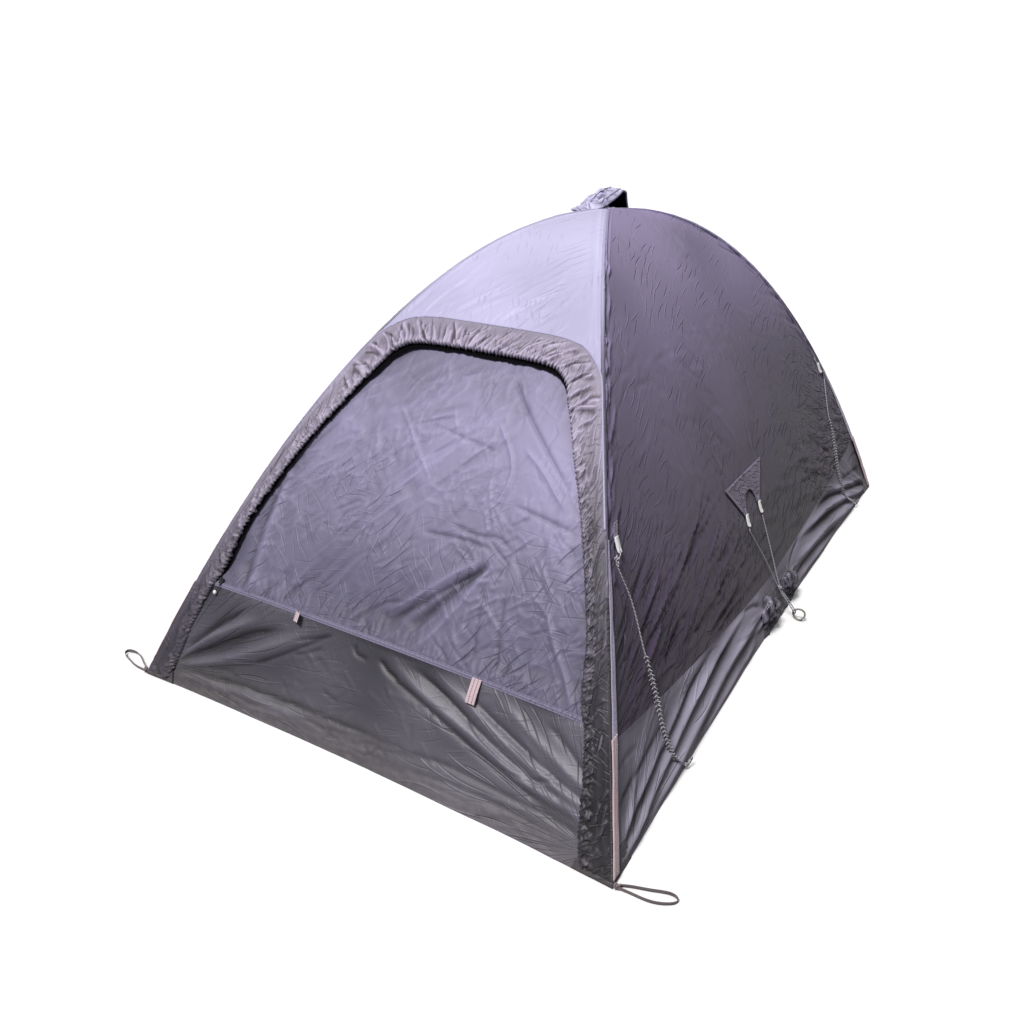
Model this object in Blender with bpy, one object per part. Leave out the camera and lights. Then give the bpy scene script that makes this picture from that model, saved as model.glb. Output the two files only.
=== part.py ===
"""Mountain tent: four fabric sides over two crossed poles, with a tub floor, a zipped door and guy lines.

The origin is on the ground at the middle of the floor. X runs across the door, Y from the door (-Y)
to the foot end, and Z up. A place on the fabric is given by its side of the tent, by u, which runs
from -1 to 1 between the two ridges, and by its height above the ground.
"""
import math

import bmesh
import bpy
from mathutils import Vector

# Driving dimensions, in metres
WIDTH = 1.20              # across the door end, on the ground
LENGTH = 2.18             # from the door end to the foot end, on the ground
HEIGHT = 1.00             # ridge crossing above the ground
ARCH_POWER = 2.277        # how fast a ridge flattens towards its top
WIDTH_BOW = 0.039         # how far a ridge bends in across the tent, seen from above
LENGTH_BOW = 0.008        # the same along the tent
BASE_BOW = 0.015          # how far each ground edge bends in at its middle
SIDE_SAG = 0.022          # how far a side wall is drawn in half way up
CLOTH = 0.004             # fabric thickness in this model
GAP = 0.0003              # clearance between pieces that touch
RIDGE_GAP = 0.0006        # how far each side stops short of a ridge

TUB_END_HEIGHT = 0.225    # seam of the tub on the door and foot ends
TUB_SIDE_HEIGHT = 0.118   # lowest point of the tub's seam on a long side
TUB_CORNER_HEIGHT = 0.207 # the same seam at the ridges
SEAM_CURVE = 1.6          # how sharply that seam rises near the corners
DOOR_TOP = 0.775          # upper edge of the door panel
CUFF_TOP = 0.795          # outer seam of the gathered cuff above the door
CUFF_BOTTOM = 0.06        # lower ends of the cuff
CUFF_CORNER = 0.42        # share of the cuff's half length at which it turns from the ridge to the top
CUFF_TURN_START = 0.30    # its lower edge leaves the ridge's slope from here
CUFF_TOP_START = 0.47     # and is level from here
CUFF_TURN = 0.06
CUFF_WIDTH = 0.058
CUFF_DROP = 0.72          # share of its width that the cuff hangs down over the door
CUFF_LAYERS = (0.001, 0.007)
TOP_SHARE = 0.99          # where the four sides stop below the ridge crossing

POLE_RADIUS = 0.0045
POLE_LAYER = -0.0115      # pole centres inside the ridges
POLE_FOOT = 0.0068        # height of a pole's end above the ground
POLE_CROSSING = 0.0098    # the second pole passes this far under the first
POLE_CROSSING_REACH = 0.15
POLE_POINTS = 30

HOOD_CENTRE = (-0.068, 0.078)
HOOD_DEPTH = 0.100        # along X, from its sewn back to its open brim
HOOD_WIDTH = 0.175        # along Y
HOOD_RISE = 0.050
HOOD_CLOTH = 0.003
HOOD_LIFT = 0.0004        # its sewn edge above the roof
HOOD_BACK_SHARE = 0.55    # width at its sewn back against its brim
HOOD_ROUND = 0.6          # below 1, the hood is fuller at its sides

PATCH_LAYERS = (0.001, 0.0025)
CORNER_PATCH_HEIGHT = 0.045
CORNER_PATCH_REACH = 0.085
CORNER_PATCH_TAPER = 0.35
STRAP_WIDTH = 0.028
STRAP_INSET = 0.002
STRAP_TOP = 0.50
FITTING_INSET = 0.043     # a ridge tab's middle, from the ridge
TAB_WIDTH = 0.012
TAB_HEIGHTS = (0.4968, 0.530)
TAB_LAYERS = (0.001, 0.0028)
LOCK_WIDTH = 0.013
LOCK_HEIGHTS = (0.4695, 0.4965)
LOCK_LAYERS = (0.0028, 0.0088)
LOCK_MIDDLE = 0.0058
CORD_RADIUS = 0.0015
CORD_LAYER = 0.0068
CORD_START = 0.0009       # a guy cord starts this share of the ridge under its lock
SIDE_CORD_START = 0.0005  # the same for a side's cord
CORD_STRAIGHT = 0.010     # and runs straight for this share
CORD_POINTS = 46

PEG_LOOP_LENGTH = 0.108
PEG_LOOP_WIDTH = 0.034
PEG_LOOP_RADIUS = 0.0028
PEG_LOOP_NECK = 0.35      # share of its spread at its inner end
PEG_LOOP_POINTS = 18
PEG_LOOP_ROOTS = {        # its inner end past the corner across and along the tent, and its turn from across
    -1: (0.0041, -0.004, math.radians(14.0)),
    1: (-0.0030, 0.0026, math.radians(-127.0)),
}

SIDE_TAB_WIDTH = 0.28
SIDE_TAB_HEIGHTS = (0.012, 0.095)
SIDE_TAB_LAYERS = (0.001, 0.009)
SIDE_TAB_TAPER = 0.25
RING_RADIUS = 0.0155
RING_WIRE = 0.0025
RING_POINTS = 20
STRAND_GAP = 0.0012       # between the ring and each of its two cords
RING_PLACE = 0.632        # the ring's middle from the middle of the tent
SIDE_PATCH_SHIFT = -0.052 # the patch's middle, towards the door end
SIDE_PATCH_TOP = 0.396
SIDE_PATCH_LEG = 0.309
SIDE_PATCH_HALF_TOP = 0.142
SIDE_PATCH_HALF_LEG = 0.061
SIDE_PATCH_ARCH = 0.045   # height of the cut-out between its legs
SIDE_PATCH_NOTCH = 0.040  # half its width
SIDE_LEG_INSET = 0.009    # a leg's lock from the leg's outer edge
SIDE_LOCK_HEIGHTS = (0.281, 0.3087)
SIDE_JOIN = (0.573, -0.010, 0.087)   # where the two cords meet
SIDE_CORD_SPAN = 0.55     # share of the way from the join to the ring at which its route has a place
SIDE_CORD_POINTS = 15
DOOR_PULLS = (("left", -0.215, 0.024, 0.014), ("right", 0.240, 0.040, 0.021))  # place, length and width
SLIDER_PLACE = -0.452
SLIDER_SIZE = (0.010, 0.016)
SLIDER_LAYERS = (0.0005, 0.005)
SEAM_REACH = 0.002        # the pulls start this far under the door's seam

FABRIC_COLOUR = (0.24, 0.23, 0.31, 1.0)
CANOPY_COLOUR = (0.66, 0.64, 0.86, 1.0)
TUB_COLOUR = (0.12, 0.11, 0.14, 1.0)
CUFF_COLOUR = (0.32, 0.28, 0.36, 1.0)
WEBBING_COLOUR = (0.38, 0.30, 0.37, 1.0)
PATCH_COLOUR = (0.09, 0.08, 0.11, 1.0)
CORD_COLOUR = (0.55, 0.53, 0.58, 1.0)
LOCK_COLOUR = (0.88, 0.88, 0.90, 1.0)
ALLOY_COLOUR = (0.62, 0.62, 0.65, 1.0)

CORNERS = {
    "front_left": (-1, -1),
    "front_right": (1, -1),
    "back_left": (-1, 1),
    "back_right": (1, 1),
}


def clear_scene():
    for old in list(bpy.data.objects):
        bpy.data.objects.remove(old, do_unlink=True)


def make_material(name, colour, roughness, metallic=0.0):
    material = bpy.data.materials.new(name)
    material.use_nodes = True
    shader = material.node_tree.nodes["Principled BSDF"]
    shader.inputs["Base Color"].default_value = colour
    shader.inputs["Roughness"].default_value = roughness
    shader.inputs["Metallic"].default_value = metallic
    return material


def add_object(name, mesh, material):
    piece = bpy.data.objects.new(name, mesh)
    piece.data.materials.append(material)
    TENT.objects.link(piece)
    return piece


def share_at(height):
    """How far up a ridge a height lies: 0 at the corner and 1 at the crossing."""
    return 1.0 - max(0.0, 1.0 - height / HEIGHT) ** (1.0 / ARCH_POWER)


def ridge(share, layer=0.0):
    """Half width, half length and height of the ridges; layer is the distance outside the fabric."""
    half_width = WIDTH / 2 * (1 - share) - WIDTH_BOW * math.sin(math.pi * share)
    half_length = LENGTH / 2 * (1 - share) - LENGTH_BOW * math.sin(math.pi * share)
    height = HEIGHT * (1 - (1 - share) ** ARCH_POWER)
    return (
        half_width * (1 + layer / (WIDTH / 2)),
        half_length * (1 + layer / (LENGTH / 2)),
        height * (1 + layer / HEIGHT),
    )


def side_point(side, u, share, layer=0.0):
    """A point on one side of the tent; u runs to the right for a viewer who faces that side."""
    half_width, half_length, height = ridge(share, layer)
    base = BASE_BOW * (1 - u * u) * (1 - share) ** 4
    if side in ("front", "back"):
        point = Vector((u * (half_width - RIDGE_GAP), base - half_length, height))
    else:
        sag = SIDE_SAG * (1 - u * u) * math.sin(math.pi * share) ** 2
        point = Vector((half_width - base - sag, u * (half_length - RIDGE_GAP), height))
    if side in ("back", "left"):
        point.x, point.y = -point.x, -point.y
    return point


def layered_grid(name, columns, rows, place, material):
    """A grid with a thickness: place(across, up, is_outer) puts each point; across is -1..1, up 0..1."""
    sheet = bmesh.new()
    bmesh.ops.create_grid(sheet, x_segments=columns, y_segments=rows, size=1.0)
    lifted = bmesh.ops.extrude_face_region(sheet, geom=sheet.faces[:])["geom"]
    for vertex in lifted:
        if isinstance(vertex, bmesh.types.BMVert):
            vertex.co.z = 1.0
    for vertex in sheet.verts:
        vertex.co = place(vertex.co.x, (vertex.co.y + 1) / 2, vertex.co.z > 0.5)
    bmesh.ops.recalc_face_normals(sheet, faces=sheet.faces[:])
    if sheet.calc_volume(signed=True) < 0:
        bmesh.ops.reverse_faces(sheet, faces=sheet.faces[:])
    mesh = bpy.data.meshes.new(name)
    sheet.to_mesh(mesh)
    sheet.free()
    return add_object(name, mesh, material)


def fabric(name, side, columns, rows, limits, layers, material):
    """A sheet on one side of the tent: limits(across, up) gives its u and its share of the ridge."""
    def place(across, up, is_outer):
        u, share = limits(across, up)
        return side_point(side, u, share, layers[1] if is_outer else layers[0])
    return layered_grid(name, columns, rows, place, material)


def band(low, high):
    """Limits of a sheet from ridge to ridge between two heights, each a number or a function of u."""
    def limits(across, up):
        bottom = share_at(low(across) if callable(low) else low)
        top = share_at(high(across) if callable(high) else high)
        return across, bottom + (top - bottom) * up
    return limits


def tub_seam(u):
    """Height of the tub's seam on a long side: a hanging curve between the corners."""
    return TUB_SIDE_HEIGHT + (TUB_CORNER_HEIGHT - TUB_SIDE_HEIGHT) * abs(u) ** SEAM_CURVE


def smooth_path(points, count):
    """Points read from one smooth curve through the given places, evenly along it."""
    places = [Vector(point) for point in points]
    ends = [2 * places[0] - places[1]] + places + [2 * places[-1] - places[-2]]
    fine = []
    steps = 24
    for before, start, stop, after in zip(ends, ends[1:], ends[2:], ends[3:]):
        for step in range(steps):
            t = step / steps
            fine.append(0.5 * (
                2 * start + (stop - before) * t
                + (2 * before - 5 * start + 4 * stop - after) * t ** 2
                + (3 * start - before - 3 * stop + after) * t ** 3
            ))
    fine.append(places[-1])
    lengths = [0.0]
    for here, there in zip(fine, fine[1:]):
        lengths.append(lengths[-1] + (there - here).length)
    result, index = [], 0
    for number in range(count):
        goal = lengths[-1] * number / (count - 1)
        while index < len(fine) - 2 and lengths[index + 1] < goal:
            index += 1
        span = lengths[index + 1] - lengths[index]
        result.append(fine[index].lerp(fine[index + 1], (goal - lengths[index]) / span))
    return result


def tube(name, points, radius, material, closed=False, resolution=2):
    curve = bpy.data.curves.new(name, "CURVE")
    curve.dimensions = "3D"
    curve.bevel_depth = radius
    curve.bevel_resolution = resolution
    curve.use_fill_caps = not closed
    spline = curve.splines.new("POLY")
    spline.points.add(len(points) - 1)
    for target, point in zip(spline.points, points):
        target.co = (*point, 1.0)
    spline.use_cyclic_u = closed
    return add_object(name, curve, material)


def make_floor(material):
    """The ground sheet, flat, with edges that bend in a little between the corners."""
    def place(across, up, is_outer):
        along = 2 * up - 1
        x = across * (WIDTH / 2 - BASE_BOW * (1 - along * along))
        y = along * (LENGTH / 2 - BASE_BOW * (1 - across * across))
        return x, y, CLOTH if is_outer else 0.0
    layered_grid("floor", 8, 8, place, material)


def make_tub_walls(material):
    foot = CLOTH + GAP
    layers = (-CLOTH, 0.0)
    for side in ("front", "back"):
        fabric(f"{side}_tub_wall", side, 12, 3, band(foot, TUB_END_HEIGHT - GAP), layers, material)
    for side in ("left", "right"):
        seam = band(foot, lambda u: tub_seam(u) - GAP)
        fabric(f"{side}_tub_wall", side, 14, 3, seam, layers, material)


def make_upper_walls(fabric_material, canopy_material):
    top = HEIGHT * (1 - (1 - TOP_SHARE) ** ARCH_POWER)
    layers = (-CLOTH, 0.0)
    fabric("front_wall", "front", 12, 5, band(DOOR_TOP, top), layers, canopy_material)
    fabric("back_wall", "back", 12, 10, band(TUB_END_HEIGHT, top), layers, canopy_material)
    for side in ("left", "right"):
        fabric(f"{side}_wall", side, 14, 10, band(tub_seam, top), layers, fabric_material)


def make_door(material, cuff_material):
    layers = (-CLOTH, 0.0)
    fabric("door_panel", "front", 12, 9, band(TUB_END_HEIGHT, DOOR_TOP - GAP), layers, material)
    make_cuff(cuff_material)


def cuff_edges(travel):
    """Outer and inner edge (x and height) of the cuff; travel 0 to 1 goes up one ridge and down the other."""
    low, high = share_at(CUFF_BOTTOM), share_at(CUFF_TOP)
    if travel > 0.5:
        outer, inner = cuff_edges(1 - travel)
        return (-outer[0], outer[1]), (-inner[0], inner[1])
    if travel < CUFF_CORNER:
        share = low + (high - low) * travel / CUFF_CORNER
        half_width, _, height = ridge(share)
        outer = (-half_width, height)
    else:
        half_width, _, height = ridge(high)
        part = (travel - CUFF_CORNER) / (0.5 - CUFF_CORNER)
        outer = (-half_width * (1 - part), height)
    turned = (travel - CUFF_TURN_START) / (CUFF_CORNER - CUFF_TURN_START)
    drop = CUFF_WIDTH * CUFF_DROP * min(1.0, max(0.0, turned))
    pull = CUFF_WIDTH * min(1.0, max(0.0, (CUFF_TOP_START - travel) / CUFF_TURN))
    return outer, (min(0.0, outer[0] + pull), outer[1] - drop)


def make_cuff(material):
    """The gathered band along both ridges and over the top of the door."""
    def limits(across, up):
        outer, inner = cuff_edges((across + 1) / 2)
        x = outer[0] + (inner[0] - outer[0]) * up
        height = outer[1] + (inner[1] - outer[1]) * up
        share = share_at(height)
        return x / (ridge(share)[0]), share
    fabric("door_cuff", "front", 44, 2, limits, CUFF_LAYERS, material)


def make_poles(material):
    for name, turn, under in (("pole_1", 1, 0.0), ("pole_2", -1, POLE_CROSSING)):
        points = []
        first = share_at(POLE_FOOT)
        for number in range(POLE_POINTS + 1):
            along = -1 + 2 * number / POLE_POINTS
            share = first + (1 - first) * (1 - abs(along))
            half_width, half_length, height = ridge(share, POLE_LAYER)
            sign = -1 if along < 0 else 1
            reach = math.hypot(half_width, half_length)
            dip = under * math.exp(-(reach / POLE_CROSSING_REACH) ** 2)
            points.append((turn * sign * half_width, sign * half_length, height - dip))
        tube(name, points, POLE_RADIUS, material)


def roof_height(x, y):
    """Height of the fabric above a place on the ground, near the ridge crossing."""
    low, high = 0.0, 1.0
    for _ in range(40):
        middle = (low + high) / 2
        half_width, half_length, _ = ridge(middle)
        if abs(x) < half_width and abs(y) < half_length:
            low = middle
        else:
            high = middle
    return ridge(low)[2]


def make_hood(material):
    """The vent's hood: a scoop sewn down behind and at its sides, open towards +X."""
    def place(across, up, is_outer):
        forward = (across + 1) / 2
        sideways = 2 * up - 1
        x = HOOD_CENTRE[0] + HOOD_DEPTH * (forward - 0.5)
        y = HOOD_CENTRE[1] + HOOD_WIDTH / 2 * sideways * (HOOD_BACK_SHARE + (1 - HOOD_BACK_SHARE) * forward)
        rise = HOOD_RISE * math.sin(math.pi / 2 * forward) * (1 - sideways * sideways) ** HOOD_ROUND
        lift = HOOD_LIFT + (HOOD_CLOTH if is_outer else 0.0)
        return x, y, roof_height(x, y) + rise + lift
    layered_grid("vent_hood", 6, 12, place, material)


def corner_side(corner):
    """The long side at a corner and the sign of u there."""
    x_sign, y_sign = CORNERS[corner]
    side = "right" if x_sign > 0 else "left"
    return side, (y_sign if side == "right" else -y_sign)


def ridge_band(side, u_sign, inset, width, heights):
    """Limits of a strip that runs up a long side, inset from the ridge."""
    def limits(across, up):
        low, high = (share_at(height) for height in heights)
        share = low + (high - low) * up
        half_length = ridge(share)[1]
        from_ridge = inset + width * (across + 1) / 2
        return u_sign * (1 - from_ridge / half_length), share
    return limits


def make_corner_patch(corner, material):
    """A patch folded round the foot of a ridge."""
    x_sign, y_sign = CORNERS[corner]
    low, high = share_at(CLOTH + GAP), share_at(CORNER_PATCH_HEIGHT)

    def place(across, up, is_outer):
        share = low + (high - low) * up
        half_width, half_length, height = ridge(share, PATCH_LAYERS[1] if is_outer else PATCH_LAYERS[0])
        reach = CORNER_PATCH_REACH * abs(across) * (1 - CORNER_PATCH_TAPER * up)
        x = half_width - (reach if across < 0 else 0.0)
        y = half_length - (reach if across > 0 else 0.0)
        bow = BASE_BOW * (1 - share) ** 4
        if across < 0:
            y -= bow * (1 - (x / half_width) ** 2)
        else:
            x -= bow * (1 - (y / half_length) ** 2)
        return x_sign * x, y_sign * y, height
    layered_grid(f"corner_patch_{corner}", 4, 2, place, material)


def make_ridge_fittings(corner, webbing, plastic):
    """The strap sewn beside a ridge, the tab on its top and the line lock in the tab."""
    side, u_sign = corner_side(corner)
    strap = ridge_band(side, u_sign, STRAP_INSET, STRAP_WIDTH, (CORNER_PATCH_HEIGHT + 0.001, STRAP_TOP))
    fabric(f"ridge_strap_{corner}", side, 1, 12, strap, PATCH_LAYERS, webbing)
    tab = ridge_band(side, u_sign, FITTING_INSET - TAB_WIDTH / 2, TAB_WIDTH, TAB_HEIGHTS)
    fabric(f"ridge_tab_{corner}", side, 1, 2, tab, TAB_LAYERS, webbing)
    lock = ridge_band(side, u_sign, FITTING_INSET - LOCK_WIDTH / 2, LOCK_WIDTH, LOCK_HEIGHTS)
    fabric(f"line_lock_{corner}", side, 1, 1, lock, LOCK_LAYERS, plastic)


def make_peg_loop(corner, material):
    """A webbing loop for a peg, lying on the ground beyond the corner."""
    x_sign, y_sign = CORNERS[corner]
    out_x, out_y, turn = PEG_LOOP_ROOTS[y_sign]
    root = Vector((WIDTH / 2 + out_x, LENGTH / 2 + out_y, 0.0))
    points = []
    for number in range(PEG_LOOP_POINTS):
        angle = 2 * math.pi * number / PEG_LOOP_POINTS
        along = PEG_LOOP_LENGTH * (1 - math.cos(angle)) / 2
        spread = PEG_LOOP_NECK + (1 - PEG_LOOP_NECK) * along / PEG_LOOP_LENGTH
        across = PEG_LOOP_WIDTH / 2 * math.sin(angle) * spread
        x = root.x + along * math.cos(turn) + across * math.sin(turn)
        y = root.y - along * math.sin(turn) + across * math.cos(turn)
        points.append((x_sign * x, y_sign * y, PEG_LOOP_RADIUS + GAP))
    tube(f"peg_loop_{corner}", points, PEG_LOOP_RADIUS, material, closed=True)


def guy_route(corner):
    """Places of a slack guy line, which hangs down the wall beside its ridge: y share of length and height."""
    front = ((-0.776, 0.377), (-0.781, 0.290), (-0.782, 0.205), (-0.785, 0.129), (-0.772, 0.066),
             (-0.742, 0.028), (-0.726, 0.013))
    back = ((0.745, 0.353), (0.740, 0.282), (0.726, 0.164), (0.746, 0.083), (0.806, 0.042),
            (0.856, 0.014))
    return front if CORNERS[corner][1] < 0 else back


def make_guy_cord(corner, material):
    side, u_sign = corner_side(corner)
    places = []
    first = share_at(LOCK_HEIGHTS[0]) - CORD_START
    for share in (first, first - CORD_STRAIGHT):
        u = 1 - FITTING_INSET / ridge(share)[1]
        places.append(side_point(side, u_sign * u, share, LOCK_MIDDLE))
    for y, height in guy_route(corner):
        share = share_at(height)
        u = abs(y) / ridge(share)[1]
        places.append(side_point(side, u_sign * u, share, CORD_LAYER))
    tube(f"guy_cord_{corner}", smooth_path(places, CORD_POINTS), CORD_RADIUS, material)


def make_side_patch(side, material):
    """The tie-out patch: sewn along its wide top, with two legs and an arched cut-out between them."""
    x_sign = 1 if side == "right" else -1

    def limits(across, up):
        half_leg = SIDE_PATCH_HALF_LEG + (SIDE_PATCH_HALF_TOP - SIDE_PATCH_HALF_LEG) * up
        arch = SIDE_PATCH_ARCH * max(0.0, 1 - (abs(across) * SIDE_PATCH_HALF_LEG / SIDE_PATCH_NOTCH) ** 2) ** 0.5
        bottom = SIDE_PATCH_LEG + arch
        height = bottom + (SIDE_PATCH_TOP - bottom) * up
        share = share_at(height)
        return (across * half_leg + x_sign * SIDE_PATCH_SHIFT) / ridge(share)[1], share
    fabric(f"side_guy_patch_{side}", side, 10, 3, limits, PATCH_LAYERS, material)


def make_side_fittings(side, plastic, cord, alloy, webbing):
    """Line locks on the patch's legs, the double cord down to the ring, the ring and the gathered peg tab."""
    x_sign = 1 if side == "right" else -1
    leg = SIDE_PATCH_HALF_LEG - SIDE_LEG_INSET
    for name, sign in (("front", -1), ("back", 1)):
        centre = x_sign * (SIDE_PATCH_SHIFT + sign * leg)

        def limits(across, up, centre=centre):
            low, high = (share_at(height) for height in SIDE_LOCK_HEIGHTS)
            share = low + (high - low) * up
            return (centre + LOCK_WIDTH / 2 * across) / ridge(share)[1], share
        fabric(f"side_lock_{side}_{name}", side, 1, 1, limits, LOCK_LAYERS, plastic)

    ring_z = RING_RADIUS + RING_WIRE + GAP
    inside = RING_PLACE - RING_RADIUS + RING_WIRE + CORD_RADIUS + GAP
    strand = RING_WIRE + CORD_RADIUS + STRAND_GAP
    join = Vector(SIDE_JOIN)
    top = share_at(SIDE_LOCK_HEIGHTS[0]) - SIDE_CORD_START

    def down(sign):
        """Places of one of the two cords, from its lock to just above the ring."""
        y = SIDE_PATCH_SHIFT + sign * leg
        start, below = (side_point("right", y / ridge(share)[1], share, LOCK_MIDDLE)
                        for share in (top, top - CORD_STRAIGHT))
        beside = join + Vector((0.0, sign * strand, 0.0))
        over = Vector((inside, sign * strand, ring_z + 0.004))
        return [start, below, start.lerp(beside, 0.5), beside, beside.lerp(over, SIDE_CORD_SPAN), over]

    turn = [Vector((inside, 0.0, ring_z - 0.001))]
    places = down(-1) + turn + list(reversed(down(1)))
    route = [Vector((x_sign * point.x, point.y, point.z)) for point in places]
    tube(f"side_guy_cord_{side}", smooth_path(route, 2 * SIDE_CORD_POINTS + 9), CORD_RADIUS, cord)

    angles = [2 * math.pi * number / RING_POINTS for number in range(RING_POINTS)]
    circle = [Vector((math.cos(angle), 0.0, math.sin(angle))) * RING_RADIUS for angle in angles]
    centre = Vector((x_sign * RING_PLACE, 0.0, ring_z))
    tube(f"side_ring_{side}", [centre + point for point in circle], RING_WIRE, alloy, closed=True, resolution=1)

    def tab_limits(across, up):
        low, high = (share_at(height) for height in SIDE_TAB_HEIGHTS)
        share = low + (high - low) * up
        return SIDE_TAB_WIDTH / 2 * across * (1 - SIDE_TAB_TAPER * up) / ridge(share)[1], share
    fabric(f"side_peg_tab_{side}", side, 6, 2, tab_limits, SIDE_TAB_LAYERS, webbing)


def make_door_fittings(webbing, plastic):
    """Two pull tabs under the door's seam, and the slider at the end of its zip."""
    seam = TUB_END_HEIGHT
    for name, x, drop, width in DOOR_PULLS:
        def limits(across, up, x=x, drop=drop, width=width):
            share = share_at(seam - SEAM_REACH - drop * (1 - up))
            return (x + width / 2 * across) / ridge(share)[0], share
        fabric(f"door_pull_{name}", "front", 1, 2, limits, PATCH_LAYERS, webbing)

    def slider_limits(across, up):
        share = share_at(seam + 0.001 + SLIDER_SIZE[1] * up)
        return (SLIDER_PLACE + SLIDER_SIZE[0] / 2 * across) / ridge(share)[0], share
    fabric("zip_slider", "front", 1, 1, slider_limits, SLIDER_LAYERS, plastic)


def make_tent():
    canopy = make_material("canopy_fabric", CANOPY_COLOUR, 0.55)
    wall = make_material("wall_fabric", FABRIC_COLOUR, 0.50)
    tub = make_material("tub_fabric", TUB_COLOUR, 0.35)
    cuff = make_material("cuff_fabric", CUFF_COLOUR, 0.50)
    patch = make_material("patch_fabric", PATCH_COLOUR, 0.60)
    webbing = make_material("webbing", WEBBING_COLOUR, 0.75)
    cord = make_material("cord", CORD_COLOUR, 0.70)
    plastic = make_material("plastic", LOCK_COLOUR, 0.40)
    alloy = make_material("alloy", ALLOY_COLOUR, 0.30, 1.0)

    make_floor(tub)
    make_tub_walls(tub)
    make_upper_walls(wall, canopy)
    make_door(wall, cuff)
    make_poles(alloy)
    make_hood(canopy)
    for corner in CORNERS:
        make_corner_patch(corner, patch)
        make_ridge_fittings(corner, webbing, plastic)
        make_peg_loop(corner, webbing)
        make_guy_cord(corner, cord)
    for side in ("left", "right"):
        make_side_patch(side, patch)
        make_side_fittings(side, plastic, cord, alloy, webbing)
    make_door_fittings(webbing, plastic)


clear_scene()
TENT = bpy.data.collections.new("mountain_tent")
bpy.context.scene.collection.children.link(TENT)
make_tent()
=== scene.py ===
"""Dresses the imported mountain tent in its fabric, seams, webbing and cords, and sets up a plain studio.

Places are the frame's own: the origin on the ground under the middle of the floor, X across the door,
Y from the door end (-Y) to the foot end, and Z up. A place on the fabric is given by its side of the
tent, by u, which runs from -1 to 1 between the two ridges, and by its share of the way up a ridge.
"""

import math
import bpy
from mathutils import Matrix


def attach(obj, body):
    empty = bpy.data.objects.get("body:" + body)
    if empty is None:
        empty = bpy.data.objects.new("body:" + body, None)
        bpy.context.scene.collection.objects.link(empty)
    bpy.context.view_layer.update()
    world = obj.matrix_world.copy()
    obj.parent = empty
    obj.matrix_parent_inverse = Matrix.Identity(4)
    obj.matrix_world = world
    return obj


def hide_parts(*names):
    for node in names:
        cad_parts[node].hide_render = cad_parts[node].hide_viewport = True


bl_info = {
    "name": "Mountain Tent",
    "version": (1, 0, 0),
    "blender": (4, 5, 0),
    "location": "View3D > Sidebar > Tent",
    "description": "Makes the fabric, seams, webbing and cords of a small mountain tent",
    "category": "Add Mesh",
}

import bmesh
import bpy
import numpy as np
from mathutils import Matrix, Vector

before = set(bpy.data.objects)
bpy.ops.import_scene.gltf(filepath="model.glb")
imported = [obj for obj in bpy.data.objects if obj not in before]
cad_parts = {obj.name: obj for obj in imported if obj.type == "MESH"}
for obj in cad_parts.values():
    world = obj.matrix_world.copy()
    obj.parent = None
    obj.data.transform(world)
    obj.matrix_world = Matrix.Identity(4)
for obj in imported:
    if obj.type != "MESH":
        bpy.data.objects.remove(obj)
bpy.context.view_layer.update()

# The tent's form, as in the part's source, in metres
WIDTH = 1.2
LENGTH = 2.18
HEIGHT = 1.00
ARCH_POWER = 2.277
WIDTH_BOW = 0.039
LENGTH_BOW = 0.008
BASE_BOW = 0.015
SIDE_SAG = 0.022
RIDGE_GAP = 0.0006
RIDGE_FOOT_SHARE = 0.3
TUB_END_HEIGHT = 0.225
TUB_SIDE_HEIGHT = 0.118
TUB_CORNER_HEIGHT = 0.207
SEAM_CURVE = 1.6
FITTING_INSET = 0.043
STRAP_WIDTH = 0.028
STRAP_TOP = 0.5
CORNER_PATCH_HEIGHT = 0.045
CORNER_PATCH_REACH = 0.085
LOCK_HEIGHTS = (0.4695, 0.4965)
LOCK_MIDDLE = 0.0058
CORD_LAYER = 0.0068
CORD_START = 0.0009
CORD_STRAIGHT = 0.01
GAP = 0.0003
PEG_LOOP_LENGTH = 0.108
PEG_LOOP_WIDTH = 0.034
PEG_LOOP_ROOTS = {
    -1: (0.0041, -0.004, math.radians(14.0)),
    1: (-0.003, 0.0026, math.radians(-127.0)),
}
RING_RADIUS = 0.0155
RING_WIRE = 0.0025
RING_PLACE = 0.632
STRAND_GAP = 0.0012
SIDE_PATCH_SHIFT = -0.052
SIDE_PATCH_HALVES = (0.061, 0.142)
SIDE_PATCH_HEIGHTS = (0.309, 0.396)
SIDE_TAB_HALF = 0.145
SIDE_LOCK_HEIGHTS = (0.281, 0.3087)
SIDE_LEG = 0.052
SIDE_CORD_START = 0.0005
SIDE_JOIN = (0.573, -0.01, 0.087)
SIDE_CORD_SPAN = 0.55
CORD_RADIUS = 0.0015
CHAIN_PITCH = 0.019

CORNERS = {"front_left": (-1, -1), "front_right": (1, -1), "back_left": (-1, 1), "back_right": (1, 1)}
SIDE_SIGNS = {"right": 1, "left": -1}
POLES = ["pole_1", "pole_2"]

# Places inside the tent that the faces of nearby sheets look away from
TENT_MIDDLE = (0.0, 0.0, 0.2)
BEHIND_DOOR = (0.0, 0.5, 0.4)
UNDER_CROWN = (0.0, 0.07, 0.6)


# ---- settings

def size(name, description, default, low, high):
    return bpy.props.FloatProperty(
        name=name, description=description, default=default, min=low, max=high, unit="LENGTH")


def colour(name, description, default):
    return bpy.props.FloatVectorProperty(
        name=name, description=description, default=default, size=3, min=0.0, max=1.0, subtype="COLOR")


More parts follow.
